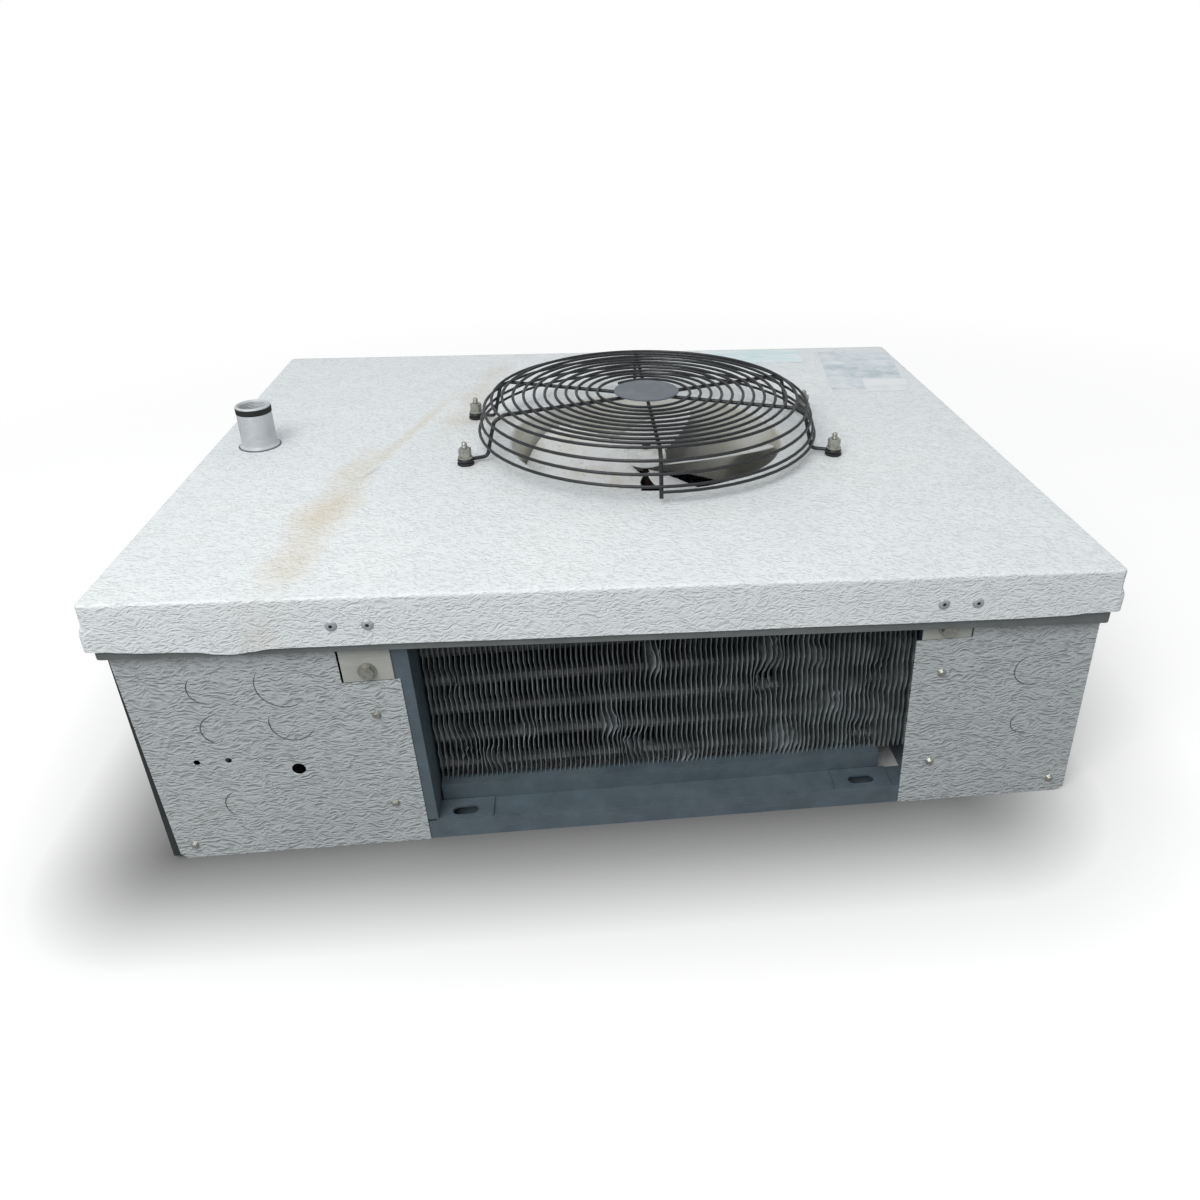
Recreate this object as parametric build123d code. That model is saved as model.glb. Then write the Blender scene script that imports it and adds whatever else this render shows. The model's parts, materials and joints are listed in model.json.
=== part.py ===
from build123d import *
import math
import os

# Walk-in unit cooler, centre-mount type, lying on its ceiling face with the drain pan upwards.
# Millimetres. X runs along the long side, Y from the front coil to the back coil, Z up from the
# ceiling face (z = 0) to the drain pan and the fan guard. Origin: middle of the ceiling face.

# ---------------------------------------------------------------- driving dimensions
body_w, body_d = 823.0, 648.0      # cabinet over the end covers
pan_over_x, pan_over_y = 7.5, 11.0 # pan overhang past the cabinet, ends and long sides
pan_mid_z = 260.6                  # pan skin height at the middle of the width
pan_slope = 2.386                  # degrees, half an inch per foot towards the drain
skin_lip, inner_lip = 44.0, 52.0   # lip depths of the outer skin and the inner pan
pan_t = 1.0                        # pan sheet
pan_gap = 1.5                      # between skin lip and inner pan lip
pan_wall = 9.0                     # between skin and the inner pan floor
pan_corner_r = 5.0
cover_t, galv_t = 1.0, 1.2         # stucco aluminium sheet, galvanised sheet
fit = 0.3                          # general gap between neighbouring sheets
past = 1.0                         # cutters run this far past what they cut
panel_gap = 3.0                    # side panels stop short of the ceiling and the cabinet's top by this
corner_clip, notch_gap = 8.0, 2.0  # clipped foot of the covers, room beside the pan brackets

open_x0, open_x1 = -183.5, 253.5   # coil opening between the end covers
bracket_x = (-209.0, 279.0)        # middle of the two pan brackets and screw columns
bracket_w, bracket_foot_z = 42.0, 182.0
bracket_bolt_z, bracket_t, bracket_tab = 192.0, 1.5, 22.0
rivet_gap, rivet_drop, rivet_shift = 28.6, 26.0, 3.5
rivet_head_d, rivet_core_d, rivet_head_h, rivet_len = 9.5, 3.2, 1.4, 7.0
screw_zs = (47.0, 146.0)
screw_corner = 15.5
screw_head_d, screw_head_h, screw_r, screw_len = 8.5, 2.6, 1.9, 8.0
head_taper = 35.0                  # degrees, slope of screw and rivet heads
screw_reach = 20.0                 # depth of the screw and bolt holes
bolt_flange_d, bolt_flange_t, bolt_af, bolt_head_h, bolt_r, bolt_len = 15.5, 1.6, 11.1, 5.2, 3.0, 12.0

coil_left, coil_right = -174.0, 270.0   # inner faces of the coil end plates
coil_recess, coil_depth = 34.0, 66.0
fin_z0, fin_t, fin_pitch = 39.5, 0.4, 4.6
tube_d, tube_rows, tube_deep, tube_pitch = 12.7, 6, 2, 31.75
tube_stub = 14.0                   # tube length past the end plate
bend_sides = 8                     # flat sides of a whole turn of the return bends
plate_flange, plate_past_fins = 52.0, 3.0

channel_h, channel_d, channel_t = 20.0, 26.5, 1.5
hanger_span, hanger_mid = 370.0, 35.0
slot_len, slot_w, slot_inset, slot_room = 24.0, 11.0, 11.0, 4.0
hanger_plate_w, hanger_plate_d, hanger_plate_t = 52.0, 24.0, 2.2
baffle_x0, baffle_x1, baffle_fold = -172.0, 241.0, 12.0

fan_x = 51.0
throat_r, venturi_roll = 147.0, 4.0 # fan throat and the sloping edge that leads into it
venturi_h, venturi_t, venturi_flange = 105.0, 1.2, 11.0
tip_gap, fan_hub_r, fan_boss_r, fan_hub_h = 4.5, 21.0, 11.5, 20.0
fan_drop = 25.0                    # fan mid-plane below the pan surface
blade_n, blade_t, blade_pitch, blade_camber_r = 5, 1.6, 24.0, 150.0
blade_root_w, blade_tip_w, blade_sweep, blade_phase = 34.0, 118.0, 14.0, 265.0
blade_in_hub = 5.0                 # blade roots start this far inside the hub
# shares of the fan radius and of half the tip width where each edge bends and where it ends
blade_front_edge, blade_back_edge = ((0.36, 0.62), (0.66, 1.0)), ((0.34, -0.5), (0.62, -0.9))
shaft_r, shaft_fit = 4.76, 0.05
shaft_seat, shaft_end_gap, shaft_past_hub = 27.0, 0.5, 5.0
motor_r, motor_h, motor_z, motor_bevel = 42.0, 74.0, 62.0, 6.0
boss_r, boss_h = 14.0, 10.0        # bearing boss on the motor
mount_t, mount_w, mount_d, mount_foot = 2.0, 116.0, 64.0, 26.0
suction_r, liquid_r = 8.0, 5.0
header_tee_y = (-110.0, -60.0)     # where the two lines turn off towards the front
line_end, braze = 24.0, 2.0        # pipe ends inside the cover, overlap of the brazed joints

guard_top, guard_r = 50.0, 158.0
guard_shoulder_r, guard_foot_r, guard_bulge = 165.0, 182.0, 0.7
guard_pitch, guard_inner_r, guard_turns = 11.4, 43.0, 11
wire, rib_wire, weld = 3.2, 4.0, 0.6 # the wires sink into each other by the weld
side_ring_h = (41.5, 29.0, 17.0, 11.5)
inner_ring_sides, side_ring_sides = 14, 24
stud_x, stud_y = 191.8, 70.3       # half spacings of the guard studs
stud_r, stud_h, stud_head_r, stud_head_t = 2.8, 24.0, 6.0, 2.0
foot_ring_r, foot_h = 8.0, 5.0
washer_r = 8.5
nut_af, nut_h, nut_flange_r, nut_flange_t = 11.5, 11.0, 7.8, 2.0
medallion_r, medallion_t = 35.0, 1.6
bead_r, bead_w, bead_h = 15.0, 2.5, 0.8
rib_under = 8.0                    # the ribs end this far under the medallion

drain_inset, drain_od, drain_bore, drain_h = 44.5, 36.0, 26.0, 46.0
drain_flange_d, drain_flange_t = 46.0, 3.0
locknut_d, locknut_h = 45.0, 6.0

# (distance from the cabinet's end, z, radius) of the knockouts and open holes in the front covers
knockouts_left = ((67.5, 185.0, 15.0), (130.5, 184.0, 22.5), (68.5, 142.5, 15.0),
                  (130.5, 145.0, 19.0), (69.5, 59.5, 15.0))
holes_left = ((41.5, 109.0, 2.8), (68.5, 109.0, 2.8), (126.0, 94.0, 6.0))
knockouts_right = ((52.0, 142.3, 15.5), (51.5, 84.7, 11.0))
score_w, score_depth = 0.8, 0.4
small_sides, hole_sides = 8, 16     # flat sides that stand for small round parts and for score rings
ring_sides, part_sides = 36, 20    # flat sides of the fan throat and of hubs, collars and the motor
wiring_inset, block_size, block_poles = 81.5, (68.0, 28.0, 12.0), 4
pole_rib_t, pole_rib_h, pole_screw_r, pole_screw_h = 2.4, 9.0, 3.6, 2.0
lug_offset, lug_size = 30.0, (16.0, 12.0, 10.0)
lug_hole_r, lug_screw_r, lug_screw_h = 3.0, 3.4, 4.0
side_flange = 22.0                 # folded front and back edges of the side panels
side_lean = 1.5                    # degrees, the left side panel has sprung out at its foot

# ---------------------------------------------------------------- derived
sin_s, cos_s = math.sin(math.radians(pan_slope)), math.cos(math.radians(pan_slope))
half_w, half_d = body_w / 2, body_d / 2
pan_w, pan_d = body_w + 2 * pan_over_x, body_d + 2 * pan_over_y
pan_x = inner_lip * sin_s / 2      # keeps the tilted pan centred over the cabinet
PAN = Location((pan_x, 0, pan_mid_z), (0, pan_slope, 0))
case_drop = pan_wall + pan_t + 2.0 # cabinet sheets end this far below the pan surface
flange_y = -half_d + cover_t       # outer face of the coil plate flanges and the channel
coil_y = -half_d + coil_recess + coil_depth / 2
fin_h = tube_rows * tube_pitch     # each fin ends half a pitch past its outer tubes
fan_z = pan_mid_z - fan_x * math.tan(math.radians(pan_slope)) - fan_drop
fan_r, hole_r = throat_r - tip_gap, throat_r + venturi_roll
motor_base = motor_z + mount_t     # top face of the motor bracket
drain_x, wiring_x = drain_inset - half_w, wiring_inset - half_w


def box(x0, x1, y0, y1, z0, z1):
    """A box from its six limits."""
    return Pos((x0 + x1) / 2, (y0 + y1) / 2, (z0 + z1) / 2) * Box(x1 - x0, y1 - y0, z1 - z0)


def roof(x, drop=case_drop):
    """Height under the sloping pan at x, a given drop below its surface."""
    return pan_mid_z - (x - pan_x) * math.tan(math.radians(pan_slope)) - drop / cos_s


def back(shape):
    """The same shape on the other side of the cabinet."""
    return mirror(shape, about=Plane.XZ)


def sheet_xz(points, y, t):
    """A sheet with its outline in X and Z, its outer face at y and its thickness towards +Y."""
    face = Plane.XZ * make_face(Polyline(*points, close=True))
    return Pos(0, y, 0) * extrude(face, amount=-t)


def prism(r, z0, z1, sides, outside=False):
    """A many-sided bar along Z that stands for a round one, inside the circle or, for a hole, outside it."""
    return Pos(0, 0, z0) * extrude(RegularPolygon(r, sides, major_radius=not outside), amount=z1 - z0)


def rod_y(x, y0, y1, z, r, sides=0, outside=False):
    """A bar along Y, round or with flat sides."""
    half = (y1 - y0) / 2
    bar = prism(r, -half, half, sides, outside) if sides else Cylinder(r, 2 * half)
    return Pos(x, (y0 + y1) / 2, z) * Rot(90, 0, 0) * bar


def screw_places():
    """(x, z) of the front cover screws."""
    places = [(x, z) for x in bracket_x for z in screw_zs]
    return places + [(side * (half_w - screw_corner), screw_corner) for side in (-1, 1)]


def screw_holes():
    """Cutters for the screws and the bracket bolts of the front."""
    holes = [(x, z, screw_r) for x, z in screw_places()]
    holes += [(x, bracket_bolt_z, bolt_r) for x in bracket_x]
    y0, y1 = -half_d - past, -half_d + screw_reach
    return Sketch() + [rod_y(x, y0, y1, z, r, small_sides, outside=True) for x, z, r in holes]


# ---------------------------------------------------------------- base: ceiling panel, channels
def slots(z0, z1, cut):
    """Cutters of one outline at the four hanger slots."""
    places = [(hanger_mid + sx * hanger_span / 2, sy * (half_d - slot_inset))
              for sx in (-1, 1) for sy in (-1, 1)]
    return Sketch() + [Pos(x, y, z0) * extrude(cut, amount=z1 - z0) for x, y in places]


def slot_windows(z0, z1):
    """Plain openings below the hanger plates, with room round the slots."""
    return slots(z0, z1, Rectangle(slot_len + slot_room, slot_w + slot_room))


def make_ceiling_panel():
    panel = box(-half_w + cover_t + fit, half_w - cover_t - fit, -half_d + cover_t + channel_t + fit,
                half_d - cover_t - channel_t - fit, 0, galv_t)
    return panel - slot_windows(-past, galv_t + past)


def make_channel():
    x0, x1 = bracket_x[0] - bracket_w / 2, bracket_x[1] + bracket_w / 2
    y1 = flange_y + channel_d
    outer = box(x0, x1, flange_y, y1, 0, channel_h)
    low, high = x0 - past, x1 + past
    hollow = box(low, high, flange_y + channel_t, y1 - channel_t, -past, channel_h - channel_t)
    foot = box(low, high, y1 - channel_t - past, y1 + past, -past, galv_t)
    return outer - hollow - foot - slot_windows(0, channel_h + past)


def make_hanger_plates():
    plates = []
    for sx in (-1, 1):
        for sy in (-1, 1):
            x, y = hanger_mid + sx * hanger_span / 2, sy * (flange_y + channel_d / 2)
            z = channel_h + hanger_plate_t / 2
            plates.append(Pos(x, y, z) * Box(hanger_plate_w, hanger_plate_d, hanger_plate_t))
    cut = slots(channel_h - past, channel_h + hanger_plate_t + past, SlotOverall(slot_len, slot_w))
    return Compound([plate - cut for plate in plates])


def make_baffle():
    y = flange_y + channel_d
    upright = box(baffle_x0, baffle_x1, y, y + galv_t, galv_t, fin_z0)
    fold = box(baffle_x0, baffle_x1, y, y + baffle_fold, fin_z0 - galv_t, fin_z0)
    return upright + fold


# ---------------------------------------------------------------- coils
def make_coil_plates():
    y0, y1 = flange_y, coil_y + coil_depth / 2 + plate_past_fins
    step_y, step_z = y0 + channel_d + galv_t + 2 * fit, channel_h + hanger_plate_t + 2 * fit
    plates = []
    for x, side in ((coil_left, -1), (coil_right, 1)):
        outline = ((y0, step_z), (step_y, step_z), (step_y, galv_t), (y1, galv_t),
                   (y1, roof(x)), (y0, roof(x)))
        web = extrude(Plane.YZ * make_face(Polyline(*outline, close=True)), amount=side * galv_t)
        edge = x + side * plate_flange
        flange = sheet_xz(((x, step_z), (edge, step_z), (edge, roof(edge)), (x, roof(x))), y0, galv_t)
        keep = box(min(x, edge), max(x, edge), y0 - past, y0 + galv_t + past, 0, roof(max(x, edge)))
        plates.append(Pos(x, 0, 0) * web + (flange & keep) - screw_holes())
    return Compound(plates)


def make_fins():
    count = int((coil_right - coil_left - 2 * fit) / fin_pitch)
    start = (coil_left + coil_right - (count - 1) * fin_pitch) / 2
    fin = Box(fin_t, coil_depth, fin_h)
    z = fin_z0 + fin_h / 2
    return Compound([Pos(start + i * fin_pitch, coil_y, z) * fin for i in range(count)])


def tube_places():
    """(y, z, row, column) of each tube of the front coil, staggered from column to column."""
    for column in range(tube_deep):
        y = coil_y + (column - (tube_deep - 1) / 2) * coil_depth / tube_deep
        for row in range(tube_rows):
            z = fin_z0 + tube_pitch * (row + 0.5) + (tube_pitch / 4) * (column % 2 * 2 - 1)
            yield y, z, row, column


def make_tubes():
    x0, x1 = coil_left - galv_t - tube_stub, coil_right + galv_t + tube_stub
    bar = Rot(0, 90, 0) * prism(tube_d / 2, 0, x1 - x0, small_sides)
    return Compound([Pos(x0, y, z) * bar for y, z, _, _ in tube_places()])


def make_bend(span):
    """A flattened U bend that opens towards -X and joins two tubes, one above the other."""
    outer, inner = (span + tube_d) / 2, (span - tube_d) / 2
    ring = RegularPolygon(outer, bend_sides) - RegularPolygon(inner, bend_sides)
    ring &= Pos(outer, 0) * Rectangle(2 * outer, 2 * outer)
    return Rot(90, 0, 0) * extrude(ring, amount=tube_d * 0.4, both=True)


def bend_end(row):
    """Where the bend above a row sits and how it turns; the top tubes stay free at the header end."""
    if (tube_rows - row) % 2:
        return coil_right + galv_t + tube_stub, 0
    return coil_left - galv_t - tube_stub, 180


def make_return_bends():
    """Bends that join neighbouring tubes outside the end plates, and the two columns at the foot."""
    bend, bends = make_bend(tube_pitch), []
    places = list(tube_places())
    for y, z, row, _ in places:
        if row + 1 < tube_rows:
            x, turn = bend_end(row)
            bends.append(Pos(x, y, z + tube_pitch / 2) * Rot(0, 0, turn) * bend)
    (y0, z0), (y1, z1) = [(y, z) for y, z, row, _ in places if row == 0]
    x, turn = bend_end(-1)
    tilt = math.degrees(math.atan2(y1 - y0, z1 - z0))
    cross = make_bend(math.hypot(y1 - y0, z1 - z0))
    bends.append(Pos(x, (y0 + y1) / 2, (z0 + z1) / 2) * Rot(-tilt, 0, 0) * Rot(0, 0, turn) * cross)
    return Compound(bends + [back(item) for item in bends])


def make_header(r, column, y_tee, knockout):
    """A pipe with elbows that joins one top tube of each coil and turns towards a knockout."""
    y, z = [(y, z) for y, z, row, k in tube_places() if k == column and row == tube_rows - 1][0]
    x = coil_right + galv_t + tube_stub + r - braze
    cross = rod_y(x, y - tube_d / 2, -y + tube_d / 2, z, r, small_sides)
    end_x, end_z = half_w - knockout[0], knockout[1]
    path = Polyline((x, y_tee, z), (end_x, y_tee, z), (end_x, y_tee, end_z),
                    (end_x, -half_d + line_end, end_z))
    start = Plane(path @ 0, z_dir=path % 0)
    return cross + sweep(start * RegularPolygon(0.8 * r, small_sides), path=path, transition=Transition.RIGHT)


# ---------------------------------------------------------------- end covers
def cover_outline(x0, x1):
    return ((x0, 0), (x1, 0), (x1, roof(x1)), (x0, roof(x0)))


def make_cover(side, knockouts=(), holes=()):
    """A front cover, left (-1) or right (+1), with a notch at the pan bracket and a clipped corner."""
    inner = open_x0 if side < 0 else open_x1
    outer = side * half_w
    middle = bracket_x[0] if side < 0 else bracket_x[1]
    far = middle + side * (bracket_w / 2 + notch_gap)
    x0, x1 = min(inner, outer), max(inner, outer)
    cover = sheet_xz(cover_outline(x0, x1), -half_d, cover_t)
    n0, n1 = sorted((inner - side * past, far))
    y0, y1 = -half_d - past, -half_d + cover_t + past
    cover -= box(n0, n1, y0, y1, bracket_foot_z - past, pan_mid_z)
    cover -= Pos(outer, -half_d, 0) * Rot(0, 45, 0) * Box(corner_clip, 3 * cover_t, corner_clip)
    for inset, z, r in holes:
        cover -= rod_y(outer - side * inset, y0, y1, z, r)
    for inset, z, r in knockouts:
        x = outer - side * inset
        core = rod_y(x, y0 - past, y1, z, r - score_w, hole_sides)
        cover -= rod_y(x, y0, -half_d + score_depth, z, r, hole_sides) - core
    return cover - screw_holes()


def make_side_panel(side):
    """An end panel whose folded edges sit behind the covers; the left one leans out at its foot."""
    x, z0, z1 = side * half_w, panel_gap, roof(side * half_w) - panel_gap
    wall = sorted((0, -side * cover_t))
    panel = box(*wall, -half_d + cover_t, half_d - cover_t, z0 - z1, 0)
    fold = sorted((0, -side * side_flange))
    panel += box(*fold, -half_d + cover_t, -half_d + 2 * cover_t, z0 - z1, 0)
    panel += box(*fold, half_d - 2 * cover_t, half_d - cover_t, z0 - z1, 0)
    lean = side_lean if side < 0 else 0.0
    panel = Location((x, 0, z1), (0, lean, 0)) * panel
    return panel - screw_holes() - back(screw_holes())


def pin(head_d, head_h, core_r, length):
    """A screw or rivet with a low sloping head, whose flat side is at z = 0."""
    head = extrude(RegularPolygon(head_d / 2, small_sides), amount=head_h, taper=head_taper)
    return head + prism(core_r, -length, 0, small_sides)


FRONT = Rot(90, 0, 0)              # turns +Z parts to face the front


def make_cover_screws():
    screw = pin(screw_head_d, screw_head_h, screw_r, screw_len)
    heads = [Pos(x, -half_d, z) * FRONT * screw for x, z in screw_places()]
    return Compound(heads + [back(head) for head in heads])


# ---------------------------------------------------------------- drain pan (pan frame, z = 0 on top)
def tray(w, d, lip, t, corner):
    """A folded tray, open downwards, its outer face at z = 0."""
    outer = extrude(RectangleRounded(w, d, corner), amount=-lip)
    inner = extrude(RectangleRounded(w - 2 * t, d - 2 * t, corner - t * 0.9), amount=-(lip + t))
    return outer - Pos(0, 0, -t) * inner


def fan_cut(r, depth):
    """A cutter for the fan opening, down from the pan surface."""
    return Pos(fan_u, 0, 0) * prism(r, -depth, past, ring_sides, outside=True)


fan_u = (fan_x - pan_x) / cos_s    # fan centre along the sloping pan
drain_u = (drain_x - pan_x) / cos_s


def stud_places():
    return [(fan_u + sx * stud_x, sy * stud_y) for sx in (-1, 1) for sy in (-1, 1)]


def make_pan_skin():
    skin = tray(pan_w, pan_d, skin_lip, pan_t, pan_corner_r)
    skin -= fan_cut(hole_r, pan_wall) + Pos(drain_u, 0, 0) * Cylinder(drain_od / 2 + fit, pan_wall)
    for u, v in stud_places():
        skin -= Pos(u, v, 0) * prism(stud_r + fit, -pan_wall, past, small_sides, outside=True)
    return PAN * skin


def make_pan_inner():
    step = pan_t + pan_gap
    pan = tray(pan_w - 2 * step, pan_d - 2 * step, inner_lip - pan_wall, pan_t, pan_corner_r)
    pan = Pos(0, 0, -pan_wall) * pan
    pan -= fan_cut(throat_r + venturi_t + fit, inner_lip)
    pan -= Pos(drain_u, 0, -pan_wall) * Cylinder(drain_bore / 2, pan_wall)
    return PAN * pan


def make_venturi():
    """The fan ring: a flat flange under the skin, a sloping edge and a deep throat."""
    def funnel(r):
        top = RegularPolygon(r + venturi_roll, ring_sides, major_radius=False)
        return Pos(0, 0, -pan_t) * extrude(top, amount=-venturi_roll, taper=45)

    r, t = throat_r, venturi_t
    flange = prism(r + venturi_roll + venturi_flange, -pan_t - t, -pan_t, ring_sides, outside=True)
    throat = prism(r + t, -venturi_h, -pan_t - venturi_roll, ring_sides, outside=True)
    ring = flange + funnel(r + t) + throat
    ring -= prism(r, -venturi_h - 1, 0, ring_sides, outside=True)
    return PAN * Pos(fan_u, 0, 0) * (ring - funnel(r))


def make_pan_brackets():
    """Plain plates riveted inside the pan lip and bolted to the coil plate flanges."""
    brackets = []
    lip_y = -pan_d / 2 + pan_t + pan_gap + pan_t
    for x in bracket_x:
        x0, x1 = x - bracket_w / 2, x + bracket_w / 2
        top = roof(x1) - past
        plate = box(x0, x1, flange_y - bracket_t, flange_y, bracket_foot_z, top)
        reach = box(x0, x1, lip_y + fit, flange_y, top - bracket_t, top)
        tab = box(x0, x1, lip_y + fit, lip_y + fit + bracket_t, top - bracket_tab, top)
        brackets.append(plate + reach + tab - screw_holes())
    return Compound(brackets + [back(bracket) for bracket in brackets])


def make_pan_rivets():
    rivet = pin(rivet_head_d, rivet_head_h, rivet_core_d / 2, rivet_len)
    rivets = []
    for x in bracket_x:
        for sx in (-1, 1):
            u = x + (rivet_shift if x > 0 else -rivet_shift) + sx * rivet_gap / 2
            rivets.append(PAN * Pos(u, -pan_d / 2, -rivet_drop) * FRONT * rivet)
    return Compound(rivets + [back(rivet) for rivet in rivets])


def make_bracket_bolts():
    flange = prism(bolt_flange_d / 2, 0, bolt_flange_t, hole_sides)
    head = prism(bolt_af / math.sqrt(3), 0, bolt_head_h, 6)
    bolt = flange + head + prism(bolt_r, -bolt_len, 0, small_sides)
    bolts = [Pos(x, flange_y - bracket_t, bracket_bolt_z) * FRONT * bolt for x in bracket_x]
    return Compound(bolts + [back(item) for item in bolts])


def make_drain_fitting():
    tube = prism(drain_od / 2, -pan_wall, drain_h, part_sides)
    collar = prism(drain_flange_d / 2, 0, drain_flange_t, part_sides)
    return PAN * Pos(drain_u, 0, 0) * (tube + collar - Cylinder(drain_bore / 2, 4 * drain_h))


def make_drain_locknut():
    nut = extrude(RegularPolygon(locknut_d / 2, 6), amount=-locknut_h)
    return PAN * Pos(drain_u, 0, -pan_wall - pan_t) * (nut - Cylinder(drain_bore / 2, 4 * locknut_h))


# ---------------------------------------------------------------- fan guard (pan frame)
def wire_ring(r, h, size, sides):
    """A many-sided wire ring with a square section, its middle at height h."""
    outer, inner = RegularPolygon(r + size / 2, sides), RegularPolygon(r - size / 2, sides)
    return Pos(0, 0, h - size / 2) * extrude(outer - inner, amount=size)


def side_radius(h):
    """Guard radius on its sloping side at height h."""
    share = (guard_top - h) / guard_top
    return guard_shoulder_r + (guard_foot_r - guard_shoulder_r) * share ** guard_bulge


def make_guard_rings():
    rings = [wire_ring(guard_inner_r + i * guard_pitch, guard_top, wire, inner_ring_sides + i)
             for i in range(guard_turns)]
    return PAN * Pos(fan_u, 0, 0) * Compound(rings)


def make_guard_side_rings():
    rings = [wire_ring(side_radius(h), h, wire, side_ring_sides) for h in side_ring_h]
    return PAN * Pos(fan_u, 0, 0) * Compound(rings)


def rib_profile(foot):
    """One rib seen from the side: across the top, down the side and, with a foot, out to the stud."""
    drop = rib_wire / 2 + wire / 2 - weld
    inside = [(side_radius(h) - drop, h) for h in side_ring_h]
    points = [(medallion_r - rib_under, guard_top - drop), (guard_r, guard_top - drop)] + inside
    if foot:
        reach = math.hypot(stud_x, stud_y) - foot_ring_r + rib_wire / 2
        points += [(guard_foot_r - drop, foot_h), (reach, foot_h)]
    else:
        points += [(guard_foot_r - drop, rib_wire / 2)]
    path = Polyline(*points)
    return trace(path, rib_wire)


def make_guard_ribs():
    angle = math.degrees(math.atan2(stud_y, stud_x))
    ribs = []
    for turn, foot in ((angle, 1), (180 - angle, 1), (180 + angle, 1), (-angle, 1), (90, 0), (-90, 0)):
        rib = extrude(Plane.XZ * rib_profile(foot), amount=rib_wire / 2, both=True)
        if foot:
            loop = prism(foot_ring_r, -rib_wire / 2, rib_wire / 2, small_sides)
            loop -= prism(stud_r + 2 * fit, -rib_wire, rib_wire, small_sides, outside=True)
            rib += Pos(math.hypot(stud_x, stud_y), 0, foot_h) * loop
        ribs.append(Rot(0, 0, turn) * rib)
    return PAN * Pos(fan_u, 0, 0) * Compound(ribs)


def make_guard_medallion():
    plate = prism(medallion_r, 0, medallion_t, ring_sides)
    bead = prism(bead_r, medallion_t, medallion_t + bead_h, hole_sides)
    plate += bead - prism(bead_r - bead_w, 0, 3 * medallion_t, hole_sides)
    z = guard_top - wire / 2 + weld
    return PAN * Pos(fan_u, 0, z) * plate


def make_studs():
    stud = prism(stud_r, -pan_t, stud_h, small_sides)
    stud += prism(stud_head_r, -pan_t - stud_head_t, -pan_t, small_sides)
    return PAN * Compound([Pos(u, v, 0) * stud for u, v in stud_places()])


def make_nuts():
    body = prism(nut_flange_r, 0, nut_flange_t, hole_sides)
    body += prism(nut_af / math.sqrt(3), 0, nut_h, 6)
    body -= prism(stud_r, -1, nut_h + 1, small_sides, outside=True)
    return PAN * Compound([Pos(u, v, foot_h + rib_wire / 2) * body for u, v in stud_places()])


def make_washers():
    h = foot_h - rib_wire / 2
    ring = prism(washer_r, 0, h, hole_sides) - prism(stud_r + fit, -1, h + 1, small_sides, outside=True)
    return PAN * Compound([Pos(u, v, 0) * ring for u, v in stud_places()])


# ---------------------------------------------------------------- fan and motor
def make_motor_mount():
    """A hat bracket that stands on the ceiling panel and carries the motor."""
    half, wing = mount_w / 2, mount_w / 2 + mount_foot
    foot, top = galv_t + mount_t / 2, motor_base - mount_t / 2
    outline = ((-wing, foot), (-half, foot), (-half, top), (half, top), (half, foot), (wing, foot))
    hat = Plane.XZ * trace(Polyline(*outline), mount_t)
    return Pos(fan_x, 0, 0) * extrude(hat, amount=mount_d / 2, both=True)


def make_motor_body():
    """A closed shell with bevelled ends and the bearing boss that the shaft turns in."""
    boss_z, mid_z = motor_base + motor_h, motor_base + motor_h / 2
    end = extrude(RegularPolygon(motor_r, part_sides), amount=motor_bevel, taper=45)
    shell = prism(motor_r, motor_base + motor_bevel, boss_z - motor_bevel, part_sides)
    shell += Pos(0, 0, boss_z - motor_bevel) * end
    shell += Pos(0, 0, motor_base + motor_bevel) * mirror(end, about=Plane.XY)
    boss = prism(boss_r, mid_z, boss_z + boss_h, hole_sides)
    bore = Pos(0, 0, boss_z) * Cylinder(shaft_r + shaft_fit, 2 * shaft_seat)
    return Pos(fan_x, 0, 0) * (shell + boss - bore)


def make_shaft():
    z0 = motor_base + motor_h - shaft_seat + shaft_end_gap
    z1 = fan_z + fan_hub_h / 2 + shaft_past_hub
    return Pos(fan_x, 0, (z0 + z1) / 2) * Cylinder(shaft_r, z1 - z0)


def make_fan_hub():
    half = fan_hub_h / 2
    hub = prism(fan_hub_r, -half / 2, half / 2, part_sides)
    hub += prism(fan_boss_r, -half, half, part_sides)
    return Pos(fan_x, 0, fan_z) * (hub - Cylinder(shaft_r, 2 * fan_hub_h))


def make_blade():
    """A wide paddle, cut from a cambered sheet that is pitched about its own length."""
    root, tip = blade_root_w / 2, blade_tip_w / 2
    with BuildSketch() as plan:
        with BuildLine():
            a, d = (fan_hub_r - blade_in_hub, root), (fan_hub_r - blade_in_hub, -root)
            front, b = [(fan_r * u, tip * v) for u, v in blade_front_edge]
            rear, c = [(fan_r * u, tip * v) for u, v in blade_back_edge]
            Spline(a, front, b)
            ThreePointArc(b, (fan_r, 0), c)
            Spline(c, rear, d)
            Line(d, a)
        make_face()
    cut_h = blade_tip_w / 2
    column = extrude(plan.sketch & Circle(fan_r), amount=cut_h, both=True)
    tube = Cylinder(blade_camber_r + blade_t, 2 * fan_r) - Cylinder(blade_camber_r, 2 * fan_r + 2)
    shell = Rot(blade_pitch, 0, 0) * Pos(fan_r / 2, 0, -blade_camber_r) * Rot(0, 90, 0) * tube
    upper = Rot(blade_pitch, 0, 0) * Pos(fan_r / 2, 0, 0) * Box(2 * fan_r, 4 * blade_tip_w, 2 * cut_h)
    return Rot(0, 0, blade_sweep) * (column & (shell & upper))


def make_blades():
    blade = make_blade()
    spin = [Rot(0, 0, blade_phase + i * 360 / blade_n) * blade for i in range(blade_n)]
    bore = prism(fan_boss_r, -fan_r, fan_r, part_sides)
    return Pos(fan_x, 0, fan_z) * Compound([item - bore for item in spin])


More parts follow.
